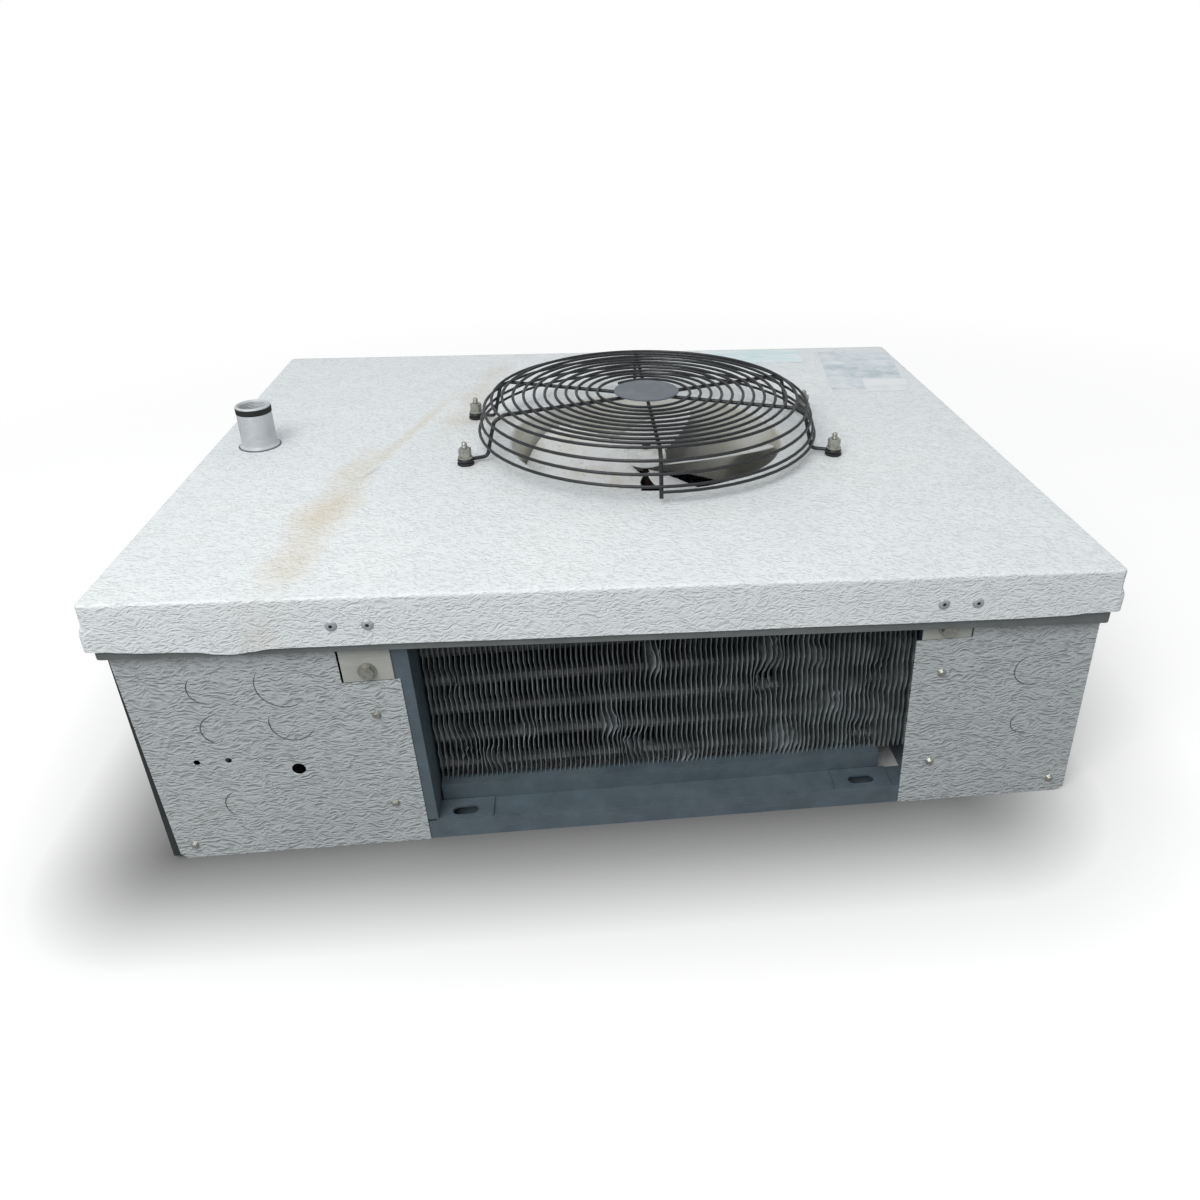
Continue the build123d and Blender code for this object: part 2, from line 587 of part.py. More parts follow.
# ---------------------------------------------------------------- electrics in the left end
def make_terminal_block():
    """A block with four ribs and four screws, on the ceiling panel in the wiring end."""
    w, d, h = block_size
    block = box(0, w, -d / 2, d / 2, 0, h)
    step = w / block_poles
    for i in range(block_poles):
        block += box(i * step, i * step + pole_rib_t, -d / 2, d / 2, h, h + pole_rib_h)
        middle = i * step + (step + pole_rib_t) / 2
        block += Pos(middle, 0, 0) * prism(pole_screw_r, h, h + pole_screw_h, 6)
    return Pos(wiring_x, 0, galv_t) * block


def make_ground_lug():
    """A lug with a wire hole and a clamp screw beside the terminal block."""
    w, d, h = lug_size
    lug = box(0, w, 0, d, 0, h) - rod_y(w / 2, -past, d + past, h / 2, lug_hole_r, small_sides)
    lug += Pos(w / 2, d / 2, 0) * prism(lug_screw_r, h, h + lug_screw_h, 6)
    return Pos(wiring_x + lug_offset, block_size[1], galv_t) * lug


# ---------------------------------------------------------------- write the nodes
def write(name, shape):
    export_step(shape, f"parts/{name}.step")


os.makedirs("parts", exist_ok=True)
channel, baffle, plates, fins, tubes = (
    make_channel(), make_baffle(), make_coil_plates(), make_fins(), make_tubes())
write("ceiling_panel", make_ceiling_panel())
write("hanger_plates", make_hanger_plates())
for name, shape in (("hanger_channel", channel), ("coil_baffle", baffle), ("coil_plates", plates),
                    ("coil_fins", fins), ("coil_tubes", tubes)):
    write(f"{name}_front", shape)
    write(f"{name}_back", back(shape))
write("return_bends", make_return_bends())
write("suction_line", make_header(suction_r, 0, header_tee_y[0], knockouts_right[0]))
write("liquid_line", make_header(liquid_r, 1, header_tee_y[1], knockouts_right[1]))
write("cover_left_front", make_cover(-1, knockouts_left, holes_left))
write("cover_right_front", make_cover(1, knockouts_right))
write("cover_left_back", back(make_cover(-1)))
write("cover_right_back", back(make_cover(1)))
write("side_panel_left", make_side_panel(-1))
write("side_panel_right", make_side_panel(1))
write("cover_screws", make_cover_screws())
write("pan_skin", make_pan_skin())
write("pan_inner", make_pan_inner())
write("pan_brackets", make_pan_brackets())
write("pan_rivets", make_pan_rivets())
write("bracket_bolts", make_bracket_bolts())
write("drain_fitting", make_drain_fitting())
write("drain_locknut", make_drain_locknut())
write("fan_venturi", make_venturi())
write("guard_rings", make_guard_rings())
write("guard_side_rings", make_guard_side_rings())
write("guard_ribs", make_guard_ribs())
write("guard_medallion", make_guard_medallion())
write("guard_studs", make_studs())
write("guard_nuts", make_nuts())
write("guard_washers", make_washers())
write("motor_mount", make_motor_mount())
write("motor_body", make_motor_body())
write("motor_shaft", make_shaft())
write("fan_hub", make_fan_hub())
write("fan_blades", make_blades())
write("terminal_block", make_terminal_block())
write("ground_lug", make_ground_lug())
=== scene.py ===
import json
import math
import random

import bmesh
import bpy
from mathutils import Matrix, Vector, noise


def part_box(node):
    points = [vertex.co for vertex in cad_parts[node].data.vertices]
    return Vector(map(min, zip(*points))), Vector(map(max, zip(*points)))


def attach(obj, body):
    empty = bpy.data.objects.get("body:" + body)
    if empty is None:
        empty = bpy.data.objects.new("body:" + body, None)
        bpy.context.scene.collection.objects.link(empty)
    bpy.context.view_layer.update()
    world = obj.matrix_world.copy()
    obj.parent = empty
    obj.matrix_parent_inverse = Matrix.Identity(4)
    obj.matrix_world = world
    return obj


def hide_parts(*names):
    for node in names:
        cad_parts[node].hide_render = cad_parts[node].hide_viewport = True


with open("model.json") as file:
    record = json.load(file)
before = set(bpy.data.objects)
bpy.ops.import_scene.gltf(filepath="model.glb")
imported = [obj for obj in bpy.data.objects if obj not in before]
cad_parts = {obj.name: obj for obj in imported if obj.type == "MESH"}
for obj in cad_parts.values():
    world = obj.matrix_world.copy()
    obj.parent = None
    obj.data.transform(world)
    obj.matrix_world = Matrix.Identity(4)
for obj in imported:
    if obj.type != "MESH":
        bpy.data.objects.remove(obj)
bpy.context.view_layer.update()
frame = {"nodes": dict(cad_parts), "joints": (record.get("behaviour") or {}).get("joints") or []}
nodes = frame["nodes"]
MM = 0.001

# ------------------------------------------------------------------ the pan's own frame
SLOPE = math.atan(0.5 / 12)            # half an inch per foot
SKIN_LIP = 44 * MM
skin_lo, skin_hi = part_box("pan_skin")
PAN_W = (skin_hi.x - skin_lo.x - SKIN_LIP * math.sin(SLOPE)) / math.cos(SLOPE)
PAN_D = skin_hi.y - skin_lo.y
PAN_X = (skin_lo.x + skin_hi.x) / 2 + SKIN_LIP * math.sin(SLOPE) / 2
PAN_Z = skin_hi.z - PAN_W / 2 * math.sin(SLOPE)
PAN = Matrix.Translation((PAN_X, 0, PAN_Z)) @ Matrix.Rotation(SLOPE, 4, "Y")
FAN = Vector(frame["joints"][0]["pos_m"])
FAN_U = (FAN.x - PAN_X) / math.cos(SLOPE)


# ------------------------------------------------------------------ mesh helpers
def piece(name, bm, material, body="cabinet", replaces=(), smooth=45.0, at=None):
    """Turns a bmesh into a piece that rides on a body."""
    mesh = bpy.data.meshes.new(name)
    if at is not None:
        bm.transform(at)
    bmesh.ops.recalc_face_normals(bm, faces=bm.faces)
    bm.to_mesh(mesh)
    bm.free()
    obj = bpy.data.objects.new(name, mesh)
    bpy.context.scene.collection.objects.link(obj)
    mesh.materials.append(material)
    mesh.shade_smooth()
    mesh.set_sharp_from_angle(angle=math.radians(smooth))
    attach(obj, body)
    if replaces:
        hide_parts(*replaces)
    return obj


def bridge(bm, rings, closed_ring=True, closed_path=False):
    """Quads between successive rings of vertices."""
    pairs = list(zip(rings, rings[1:])) + ([(rings[-1], rings[0])] if closed_path else [])
    for a, b in pairs:
        n = len(a)
        for i in range(n if closed_ring else n - 1):
            j = (i + 1) % n
            bm.faces.new((a[i], a[j], b[j], b[i]))


def tube(bm, points, radius, sides=8, closed=False):
    """A round bar along a line of points, with its section carried round without twist."""
    points = [Vector(p) for p in points]
    count = len(points)
    rings, normal = [], None
    for i, p in enumerate(points):
        before = points[i - 1] if (i or closed) else p
        after = points[(i + 1) % count] if (i < count - 1 or closed) else p
        tangent = (after - before).normalized()
        if normal is None:
            normal = tangent.orthogonal().normalized()
        normal = (normal - tangent * normal.dot(tangent)).normalized()
        side = tangent.cross(normal)
        r = radius(i / (count - 1)) if callable(radius) else radius
        ring = []
        for k in range(sides):
            a = 2 * math.pi * k / sides
            ring.append(bm.verts.new(p + normal * (r * math.cos(a)) + side * (r * math.sin(a))))
        rings.append(ring)
    bridge(bm, rings, closed_path=closed)
    if not closed:
        bm.faces.new(rings[0])
        bm.faces.new(rings[-1])


def lathe(bm, profile, sides=48, at=None):
    """Turns a line of (radius, height) points about Z. Radius 0 closes the end."""
    rings = []
    for r, z in profile:
        if r < 1e-7:
            rings.append([bm.verts.new((0, 0, z))])
        else:
            rings.append([bm.verts.new((r * math.cos(2 * math.pi * k / sides),
                                        r * math.sin(2 * math.pi * k / sides), z))
                          for k in range(sides)])
    made = [v for ring in rings for v in ring]
    for a, b in zip(rings, rings[1:]):
        for i in range(sides):
            j = (i + 1) % sides
            if len(a) == 1 and len(b) > 1:
                bm.faces.new((a[0], b[j], b[i]))
            elif len(b) == 1 and len(a) > 1:
                bm.faces.new((a[i], a[j], b[0]))
            elif len(a) > 1:
                bm.faces.new((a[i], a[j], b[j], b[i]))
    if at is not None:
        bmesh.ops.transform(bm, matrix=at, verts=made)
    return made


def hexagon(bm, across, z0, z1, bevel, at=None):
    """A hexagon head or nut with rounded-off corners at its top."""
    r = across / math.sqrt(3)
    levels = ((r, z0), (r, z1 - bevel * 0.6), (r - bevel, z1), (0, z1))
    return lathe(bm, ((0, z0),) + levels, sides=6, at=at)


def arc_corner(before, corner, after, radius, steps=6):
    """Points of a bend of a given radius at a corner."""
    a, c, b = Vector(before), Vector(corner), Vector(after)
    d1, d2 = (a - c).normalized(), (b - c).normalized()
    angle = d1.angle(d2)
    reach = min(radius / math.tan(angle / 2), (a - c).length * 0.49, (b - c).length * 0.49)
    p, q = c + d1 * reach, c + d2 * reach
    return [p.lerp(c, t).lerp(c.lerp(q, t), t) for t in [i / steps for i in range(steps + 1)]]


def rounded(points, radius):
    """A line of points with its inner corners bent to a radius."""
    line = [Vector(points[0])]
    for before, corner, after in zip(points, points[1:], points[2:]):
        line += arc_corner(before, corner, after, radius)
    return line + [Vector(points[-1])]


# ------------------------------------------------------------------ materials
class Material:
    """Shorthand for building one material from nodes. Positions are in object space, in metres."""

    def __init__(self, name, rough=0.5, metal=0.0, specular=0.5):
        self.material = bpy.data.materials.new(name)
        self.material.use_nodes = True
        self.tree = self.material.node_tree
        self.shader = self.tree.nodes["Principled BSDF"]
        self.shader.inputs["Roughness"].default_value = rough
        self.shader.inputs["Metallic"].default_value = metal
        self.shader.inputs["Specular IOR Level"].default_value = specular
        self.place = self.node("ShaderNodeTexCoord").outputs["Object"]

    def node(self, kind, out=None, **values):
        """A node; a value that is a socket is linked, anything else is set. Names use _ for spaces."""
        made = self.tree.nodes.new(kind)
        for key, value in values.items():
            if key.startswith("set_"):
                setattr(made, key[4:], value)
                continue
            socket = made.inputs[int(key[1:])] if key[0] == "i" and key[1:].isdigit() else made.inputs[key]
            self.put(socket, value)
        return made.outputs[out] if out is not None else made

    def put(self, socket, value):
        if isinstance(value, bpy.types.NodeSocket):
            self.tree.links.new(value, socket)
        else:
            socket.default_value = value

    def math(self, operation, a, b=0.0, clamp=False):
        return self.node("ShaderNodeMath", 0, set_operation=operation, set_use_clamp=clamp, i0=a, i1=b)

    def stretch(self, scale, turn=(0, 0, 0), shift=(0, 0, 0)):
        return self.node("ShaderNodeMapping", 0, Vector=self.place, Scale=scale, Rotation=turn, Location=shift)

    def noise(self, scale, detail=3.0, rough=0.55, at=None, distort=0.0):
        return self.node("ShaderNodeTexNoise", 0, Vector=at or self.place, Scale=scale, Detail=detail,
                         Roughness=rough, Distortion=distort)

    def ramp(self, value, *stops):
        """A ramp of (position, grey or colour) stops."""
        made = self.node("ShaderNodeValToRGB", Fac=value)
        ramp = made.color_ramp
        while len(ramp.elements) < len(stops):
            ramp.elements.new(0.5)
        for element, (position, colour) in zip(ramp.elements, stops):
            element.position = position
            element.color = rgba(colour)
        return made.outputs[0]

    def mix(self, fac, a, b, blend="MIX"):
        made = self.node("ShaderNodeMix", set_data_type="RGBA", set_blend_type=blend)
        self.put(made.inputs[0], fac)
        self.put(made.inputs[6], rgba(a))
        self.put(made.inputs[7], rgba(b))
        return made.outputs[2]

    def bump(self, height, distance, strength=1.0, normal=None):
        made = self.node("ShaderNodeBump", Height=height, Distance=distance, Strength=strength)
        if normal is not None:
            self.put(made.inputs["Normal"], normal)
        return made.outputs[0]

    def done(self, colour=None, rough=None, normal=None):
        if colour is not None:
            self.put(self.shader.inputs["Base Color"], rgba(colour))
        if rough is not None:
            self.put(self.shader.inputs["Roughness"], rough)
        if normal is not None:
            self.put(self.shader.inputs["Normal"], normal)
        return self.material


def rgba(colour):
    if isinstance(colour, bpy.types.NodeSocket):
        return colour
    if isinstance(colour, (int, float)):
        return (colour, colour, colour, 1)
    return (*colour[:3], 1)


def srgb(r, g, b):
    """A display colour, 0 to 255, as linear values."""
    return tuple(((c / 255 + 0.055) / 1.055) ** 2.4 if c > 10 else c / 255 / 12.92 for c in (r, g, b))


def stucco_height(m, grain, size):
    """The embossed crinkle of stucco sheet: ridges that run mostly one way, bent by a slow warp."""
    warp = m.node("ShaderNodeTexNoise", "Color", Vector=m.place, Scale=55.0, Detail=1.0)
    offset = m.node("ShaderNodeVectorMath", 0, set_operation="MULTIPLY_ADD", i0=warp,
                    i1=(0.014, 0.014, 0.014), i2=m.place)
    drawn = m.node("ShaderNodeMapping", 0, Vector=offset, Scale=grain)
    crinkle = m.noise(size, 1.5, 0.5, at=drawn)
    ridge = m.math("MULTIPLY", m.math("ABSOLUTE", m.math("SUBTRACT", crinkle, 0.5)), 5.0)
    return m.math("SUBTRACT", 1.0, m.math("MINIMUM", ridge, 1.0))


def make_stucco(name, base, dirt, grain, size, depth, hollow_shade, stains=()):
    """Painted stucco-embossed aluminium with blotches, dirt, named stains and painted shade in the crinkle's hollows.
    """
    m = Material(name, rough=0.42, specular=0.4)
    height = stucco_height(m, grain, size)
    # painted shade: the hollows of the crinkle are darkened down to hollow_shade
    hollow = m.ramp(height, (0.1, hollow_shade), (0.8, 1.0))
    blotch = m.ramp(m.noise(9.0, 5.0, 0.6), (0.35, 0.0), (0.75, 1.0))
    colour = m.mix(m.math("MULTIPLY", blotch, 0.5), base, dirt)
    colour = m.mix(1.0, colour, hollow, "MULTIPLY")
    for mask, tint, amount in (s(m) for s in stains):
        colour = m.mix(m.math("MULTIPLY", mask, amount), colour, tint)
    rough = m.ramp(m.noise(35.0, 4.0), (0.3, 0.36), (0.7, 0.56))
    return m.done(colour, rough, m.bump(height, depth))


def streak(along, across, width, length, soft, tint, amount):
    """A stain: a drawn-out spot whose middle, direction and size are given on the pan, in metres."""
    def build(m):
        turn = math.atan2(along[1], along[0])
        centre = PAN @ Vector((across[0], across[1], 0))
        local = m.node("ShaderNodeMapping", 0, set_vector_type="TEXTURE", Vector=m.place,
                       Location=(centre.x, centre.y, 0), Rotation=(0, 0, turn), Scale=(length, width, 1000.0))
        wobble = m.noise(14.0, 5.0, 0.65)
        spot = m.node("ShaderNodeVectorMath", 1, set_operation="LENGTH", i0=local)
        edge = m.math("ADD", spot, m.math("MULTIPLY", m.math("SUBTRACT", wobble, 0.5), 1.6))
        mask = m.ramp(edge, (1.0 - soft, 1.0), (1.0, 0.0))
        return mask, tint, amount
    return build


# ------------------------------------------------------------------ build the materials
YELLOW, BEIGE, GREY = srgb(208, 200, 180), srgb(208, 204, 194), srgb(150, 154, 152)
pan_paint = make_stucco(
    "pan_paint", srgb(226, 230, 231), srgb(212, 219, 222), (0.5, 0.7, 1.1), 290.0, 0.0006, 0.90,
    (streak((0.11, 1.0), (-0.262, -0.190), 0.030, 0.180, 0.9, YELLOW, 0.75),
     streak((0.26, 1.0), (-0.205, 0.050), 0.010, 0.150, 0.9, YELLOW, 0.55),
     streak((0.20, 1.0), (-0.150, 0.140), 0.026, 0.190, 0.9, BEIGE, 0.60),
     streak((1.0, 0.10), (-0.125, 0.070), 0.022, 0.090, 0.9, BEIGE, 0.55),
     streak((0.05, 1.0), (-0.040, 0.270), 0.008, 0.070, 0.9, BEIGE, 0.60),
     streak((0.4, 1.0), (-0.235, -0.085), 0.003, 0.020, 0.6, GREY, 0.35)))
# partly painted shade: the covers have the pan's white stucco paint, set greyer here to stand in part for the shade
# under the pan's lip
case_paint_with_painted_shade = make_stucco("case_paint_with_painted_shade", srgb(182, 187, 188), srgb(168, 173, 176), (0.30, 0.6, 0.95), 300.0,
                         0.0011, 0.80)


def make_plain(name, base, dark, rough, metal=0.0, scale=30.0, bump=0.00015):
    """Painted or bare sheet with blotches, faint scratches and small dents."""
    m = Material(name, rough=rough, metal=metal)
    blotch = m.ramp(m.noise(scale, 5.0, 0.65), (0.3, 0.0), (0.72, 1.0))
    scratch = m.ramp(m.noise(60.0, 2.0, at=m.stretch((1.0, 12.0, 9.0))), (0.55, 0.0), (0.8, 1.0))
    colour = m.mix(blotch, dark, base)
    colour = m.mix(m.math("MULTIPLY", scratch, 0.25), colour, tuple(min(1, c * 1.5) for c in base))
    rough_map = m.ramp(m.noise(scale * 2, 4.0), (0.3, rough - 0.1), (0.75, min(1.0, rough + 0.15)))
    return m.done(colour, rough_map, m.bump(m.noise(scale * 6, 3.0), bump))


galvanised = make_plain("galvanised", srgb(96, 110, 117), srgb(78, 91, 98), 0.45, 0.2)
channel_steel = make_plain("channel_steel", srgb(98, 112, 120), srgb(80, 93, 100), 0.42, 0.15)
cream_sheet = make_plain("cream_sheet", srgb(174, 176, 171), srgb(156, 158, 152), 0.5)
inner_sheet = make_plain("inner_sheet", srgb(228, 230, 228), srgb(200, 202, 200), 0.5, 0.0, 18.0)
black_wire = make_plain("black_wire", (0.012, 0.014, 0.016), (0.022, 0.024, 0.027), 0.38, 0.0, 80.0)
rubber = make_plain("rubber", (0.012, 0.012, 0.012), (0.02, 0.02, 0.02), 0.8, 0.0, 90.0)
zinc = make_plain("zinc", srgb(178, 178, 172), srgb(136, 136, 128), 0.34, 0.7, 200.0)
rivet_metal = make_plain("rivet_metal", srgb(190, 196, 200), srgb(160, 166, 170), 0.4, 0.4, 200.0)
copper = make_plain("copper", srgb(120, 96, 78), srgb(82, 74, 66), 0.5, 0.5, 60.0)
tube_metal = make_plain("tube_metal", srgb(150, 150, 147), srgb(104, 106, 105), 0.5, 0.3, 60.0)
drain_metal = make_plain("drain_metal", srgb(200, 205, 207), srgb(176, 181, 184), 0.45, 0.1, 40.0)
medallion_paint = make_plain("medallion_paint", srgb(112, 118, 126), srgb(92, 98, 106), 0.42, 0.2, 60.0)
motor_paint = make_plain("motor_paint", (0.02, 0.02, 0.022), (0.035, 0.035, 0.038), 0.5, 0.0, 40.0)
score_paint = make_plain("score_paint", srgb(96, 100, 100), srgb(70, 74, 74), 0.6)
# near-black: painted shade in the rivets' sunk ends, and the dark band on the drain coupling
dark_hole = make_plain("dark_hole", (0.012, 0.012, 0.012), (0.02, 0.02, 0.02), 0.9)


def make_fin_metal():
    m = Material("fin_metal", rough=0.5, metal=0.35)
    dust = m.ramp(m.noise(45.0, 5.0, 0.65), (0.35, 0.0), (0.75, 1.0))
    tint = m.mix(dust, srgb(122, 129, 131), srgb(192, 199, 201))
    return m.done(tint, m.ramp(m.noise(90.0, 3.0), (0.3, 0.42), (0.7, 0.65)), m.bump(m.noise(300.0, 2.0), 0.0002))


fin_metal = make_fin_metal()


def make_blade_metal():
    """Dull aluminium with brown water stains and specks."""
    m = Material("blade_metal", rough=0.45, metal=0.0)
    stain = m.ramp(m.noise(22.0, 5.0, 0.7), (0.50, 0.0), (0.72, 1.0))
    colour = m.mix(m.math("MULTIPLY", stain, 0.6), srgb(232, 235, 235), srgb(198, 188, 158))
    speck = m.ramp(m.noise(160.0, 3.0), (0.60, 1.0), (0.70, 0.80))
    return m.done(m.mix(1.0, colour, speck, "MULTIPLY"), None, m.bump(m.noise(120.0, 3.0), 0.0003))


def make_label_paint(name, base, band, scale):
    """A blank sticker: faded tint, rubbed patches and no lettering."""
    m = Material(name, rough=0.35)
    worn = m.ramp(m.noise(scale, 5.0, 0.7), (0.42, 0.0), (0.62, 1.0))
    tint = m.mix(m.ramp(m.noise(14.0, 2.0, at=m.stretch((0.4, 3.0, 1.0))), (0.4, 0.0), (0.6, 1.0)), base, band)
    return m.done(m.mix(m.math("MULTIPLY", worn, 0.6), tint, srgb(232, 235, 236)))


blade_metal = make_blade_metal()
# dark brown for the motor shaft, which darkens the middle of the hub
dark_shaft_brown = make_plain("dark_shaft_brown", srgb(64, 54, 46), srgb(36, 32, 28), 0.8)
label_teal = make_label_paint("label_teal", srgb(196, 222, 226), srgb(228, 236, 237), 30.0)
label_silver = make_label_paint("label_silver", srgb(176, 192, 200), srgb(204, 214, 218), 45.0)
label_white = make_label_paint("label_white", srgb(212, 219, 221), srgb(224, 230, 231), 50.0)
ring_metal = make_plain("ring_metal", srgb(232, 234, 232), srgb(206, 204, 190), 0.42, 0.0, 18.0)
# painted shade: the end panels get a near-black grey that stands for the deep shade they sit in
side_metal_painted_shade = make_plain("side_metal_painted_shade", srgb(52, 58, 58), srgb(36, 41, 41), 0.5, 0.2, 18.0)
# painted shade: the inner pan's lip, recessed behind the skin's lip, is made dark grey for its shade
lip_metal_painted_shade = make_plain("lip_metal_painted_shade", srgb(112, 116, 115), srgb(96, 100, 99), 0.5, 0.1, 30.0)


def paint(material, *names):
    for name in names:
        slots = nodes[name].data.materials
        if not len(slots):
            slots.append(material)
        for i in range(len(slots)):
            slots[i] = material


paint(case_paint_with_painted_shade, "cover_left_front", "cover_right_front", "cover_left_back", "cover_right_back")
paint(side_metal_painted_shade, "side_panel_left", "side_panel_right")
paint(inner_sheet, "ceiling_panel")
paint(lip_metal_painted_shade, "pan_inner")
paint(cream_sheet, "pan_brackets")
paint(channel_steel, "hanger_channel_front", "hanger_channel_back", "hanger_plates")
paint(galvanised, "coil_baffle_front", "coil_baffle_back", "coil_plates_front", "coil_plates_back", "motor_mount")
paint(copper, "return_bends", "suction_line", "liquid_line")
paint(motor_paint, "motor_body", "terminal_block")
paint(dark_shaft_brown, "motor_shaft")
paint(zinc, "ground_lug", "cover_screws", "bracket_bolts")
paint(rubber, "guard_washers")
paint(drain_metal, "drain_locknut", "drain_fitting")
paint(blade_metal, "fan_hub", "fan_blades")
paint(inner_sheet, "fan_venturi")
paint(pan_paint, "pan_skin")
paint(rivet_metal, "pan_rivets")
paint(tube_metal, "coil_tubes_front", "coil_tubes_back")
paint(medallion_paint, "guard_medallion")
paint(zinc, "guard_studs", "guard_nuts")


# ------------------------------------------------------------------ fan guard
GUARD_TOP, WIRE, RIB = 50 * MM, 1.6 * MM, 2.0 * MM
GUARD_AT = PAN @ Matrix.Translation((FAN_U, 0, 0))
SIDE_TURNS = ((183, 12.5), (181, 17.4), (178, 29), (174.7, 41), (164, 50))   # (radius, height) per turn
FLAT_PITCH, INNER_R = 11.4, 43.0             # of the flat top's turns, in mm
FOOT_H, RIB_BEND = 5 * MM, 7 * MM            # height of the ribs' feet over the pan, and their bends
STUD_U, STUD_V, EYE_R = 191.8 * MM, 70.3 * MM, 6.4 * MM      # EYE_R is the radius of a rib's end loop
STUD_ANGLE, STUD_REACH = math.atan2(STUD_V, STUD_U), math.hypot(STUD_U, STUD_V)


def spiral_at(turn):
    """Radius and height of the guard wire after so many turns from its lower end."""
    last = len(SIDE_TURNS) - 1
    if turn >= last:
        return SIDE_TURNS[-1][0] - FLAT_PITCH * (turn - last), SIDE_TURNS[-1][1]
    i = int(turn)
    share = turn - i
    (r0, h0), (r1, h1) = SIDE_TURNS[i], SIDE_TURNS[i + 1]
    if i == last - 1:
        share = share ** 1.15
    return r0 + (r1 - r0) * share, h0 + (h1 - h0) * share


def make_guard_spiral():
    """One wire wound from the lowest turn up the side and in to the medallion."""
    last = len(SIDE_TURNS) - 1 + (SIDE_TURNS[-1][0] - INNER_R) / FLAT_PITCH
    steps = int(last * 64)
    points = []
    for i in range(steps + 1):
        turn = last * i / steps
        r, h = spiral_at(turn)
        a = math.radians(-90) + 2 * math.pi * turn
        lift = 0.25 * math.sin(a * 3.1 + turn)
        points.append(Vector((r * math.cos(a), r * math.sin(a), h + lift)) * MM)
    bm = bmesh.new()
    tube(bm, points, WIRE, 8)
    piece("guard_spiral", bm, black_wire,
          replaces=("guard_rings", "guard_side_rings"), at=GUARD_AT)


def rib_line(angle, foot):
    """One guard rib in its own plane, from under the medallion to its foot."""
    drop = WIRE + RIB - 0.4 * MM
    side = [(r * MM - drop, h * MM) for r, h in reversed(SIDE_TURNS[1:-1])]
    line = [(26 * MM, GUARD_TOP - drop), (160.5 * MM, GUARD_TOP - drop)] + side
    if foot:
        line += [(180.5 * MM, FOOT_H), (STUD_REACH - EYE_R, FOOT_H)]
    else:
        line += [(181 * MM, 5.5 * MM)]
    c, s = math.cos(angle), math.sin(angle)
    return rounded([(r * c, r * s, h) for r, h in line], RIB_BEND)


def make_guard_ribs():
    """Four ribs that end in loops round the studs, and two that end at the lowest turn."""
    bm = bmesh.new()
    feet = [STUD_ANGLE, math.pi - STUD_ANGLE, math.pi + STUD_ANGLE, -STUD_ANGLE]
    for angle in feet:
        tube(bm, rib_line(angle, True), RIB, 10)
        centre = Vector((STUD_REACH * math.cos(angle), STUD_REACH * math.sin(angle), FOOT_H))
        loop = [centre + Vector((math.cos(a), math.sin(a), 0)) * EYE_R
                for a in [2 * math.pi * i / 32 for i in range(32)]]
        tube(bm, loop, RIB, 8, closed=True)
    for angle in (math.pi / 2, -math.pi / 2):
        tube(bm, rib_line(angle, False), RIB, 10)
    piece("guard_rib_frame", bm, black_wire, replaces=("guard_ribs",), at=GUARD_AT)


def make_medallion():
    """The blank pressed disc in the middle of the guard."""
    bm = bmesh.new()
    z = GUARD_TOP + 1.0 * MM
    profile = [(0, 1.2), (6, 1.2), (11, 1.3), (12.5, 2.0), (14, 2.2), (15.5, 1.9), (17, 1.2), (24, 0.9),
               (31, 1.3), (33.5, 1.5), (35, 0.9), (35, -0.4), (33, -0.6), (0, -0.6)]
    lathe(bm, [(r * MM, z + h * MM) for r, h in profile], 64)
    piece("guard_badge_blank", bm, medallion_paint, replaces=("guard_medallion",), at=GUARD_AT)


def make_stud(bm, at):
    """A threaded stud: close rings stand for its thread."""
    profile, z = [(0, -1.0), (2.7, -1.0)], 0.0
    while z < 22.6:
        profile += [(2.8, z), (2.45, z + 0.4)]
        z += 0.8
    profile += [(2.6, 23.2), (2.0, 24.0), (0, 24.0)]
    lathe(bm, [(r * MM, h * MM) for r, h in profile], 16, at)


def make_stud_sets():
    """Four studs with a rubber washer and a flange nut each."""
    studs, nuts, washers = bmesh.new(), bmesh.new(), bmesh.new()
    for k, (su, sv) in enumerate(((-1, -1), (-1, 1), (1, -1), (1, 1))):
        at = Matrix.Translation((su * STUD_U, sv * STUD_V, 0)) @ Matrix.Rotation(0.3 + 0.7 * k, 4, "Z")
        make_stud(studs, at)
        flange = ((0, 7.0), (7.4, 7.0), (7.8, 7.6), (7.6, 8.6), (6.2, 9.2), (0, 9.2))
        lathe(nuts, [(r * MM, h * MM) for r, h in flange], 24, at)
        hexagon(nuts, 11.5 * MM, 8.8 * MM, 18 * MM, 0.9 * MM, at)
        washer = [(3.1, 0.0), (8.0, 0.0), (8.6, 0.6), (8.6, 2.4), (8.0, 3.0), (3.1, 3.0), (3.1, 0.0)]
        lathe(washers, [(r * MM, h * MM) for r, h in washer], 28, at)
    piece("guard_stud_set", studs, zinc, replaces=("guard_studs",), at=GUARD_AT)
    piece("guard_nut_set", nuts, zinc, replaces=("guard_nuts",), at=GUARD_AT, smooth=30)
    piece("guard_washer_set", washers, rubber, replaces=("guard_washers",), at=GUARD_AT)


# ------------------------------------------------------------------ coil fins
FIN_PATCHES = (   # (x, z, width, height, push) of bent places on the front coil, in mm
    (29, 159, 6, 14, 3.6), (136, 160, 9, 15, 3.2), (131, 127, 10, 14, -3.6), (-12, 92, 8, 12, 3.4),
    (13, 64, 14, 16, -3.4), (-149, 74, 16, 20, 2.6), (-120, 62, 9, 10, -2.6), (-88, 94, 7, 12, 2.4),
    (152, 61, 13, 16, 2.8), (224, 59, 14, 14, -2.6), (193, 99, 10, 12, 2.8), (235, 120, 12, 26, -2.0),
    (-150, 150, 6, 8, 2.0), (60, 48, 10, 6, 1.8), (96, 118, 8, 8, -1.8), (178, 150, 8, 10, 2.0))


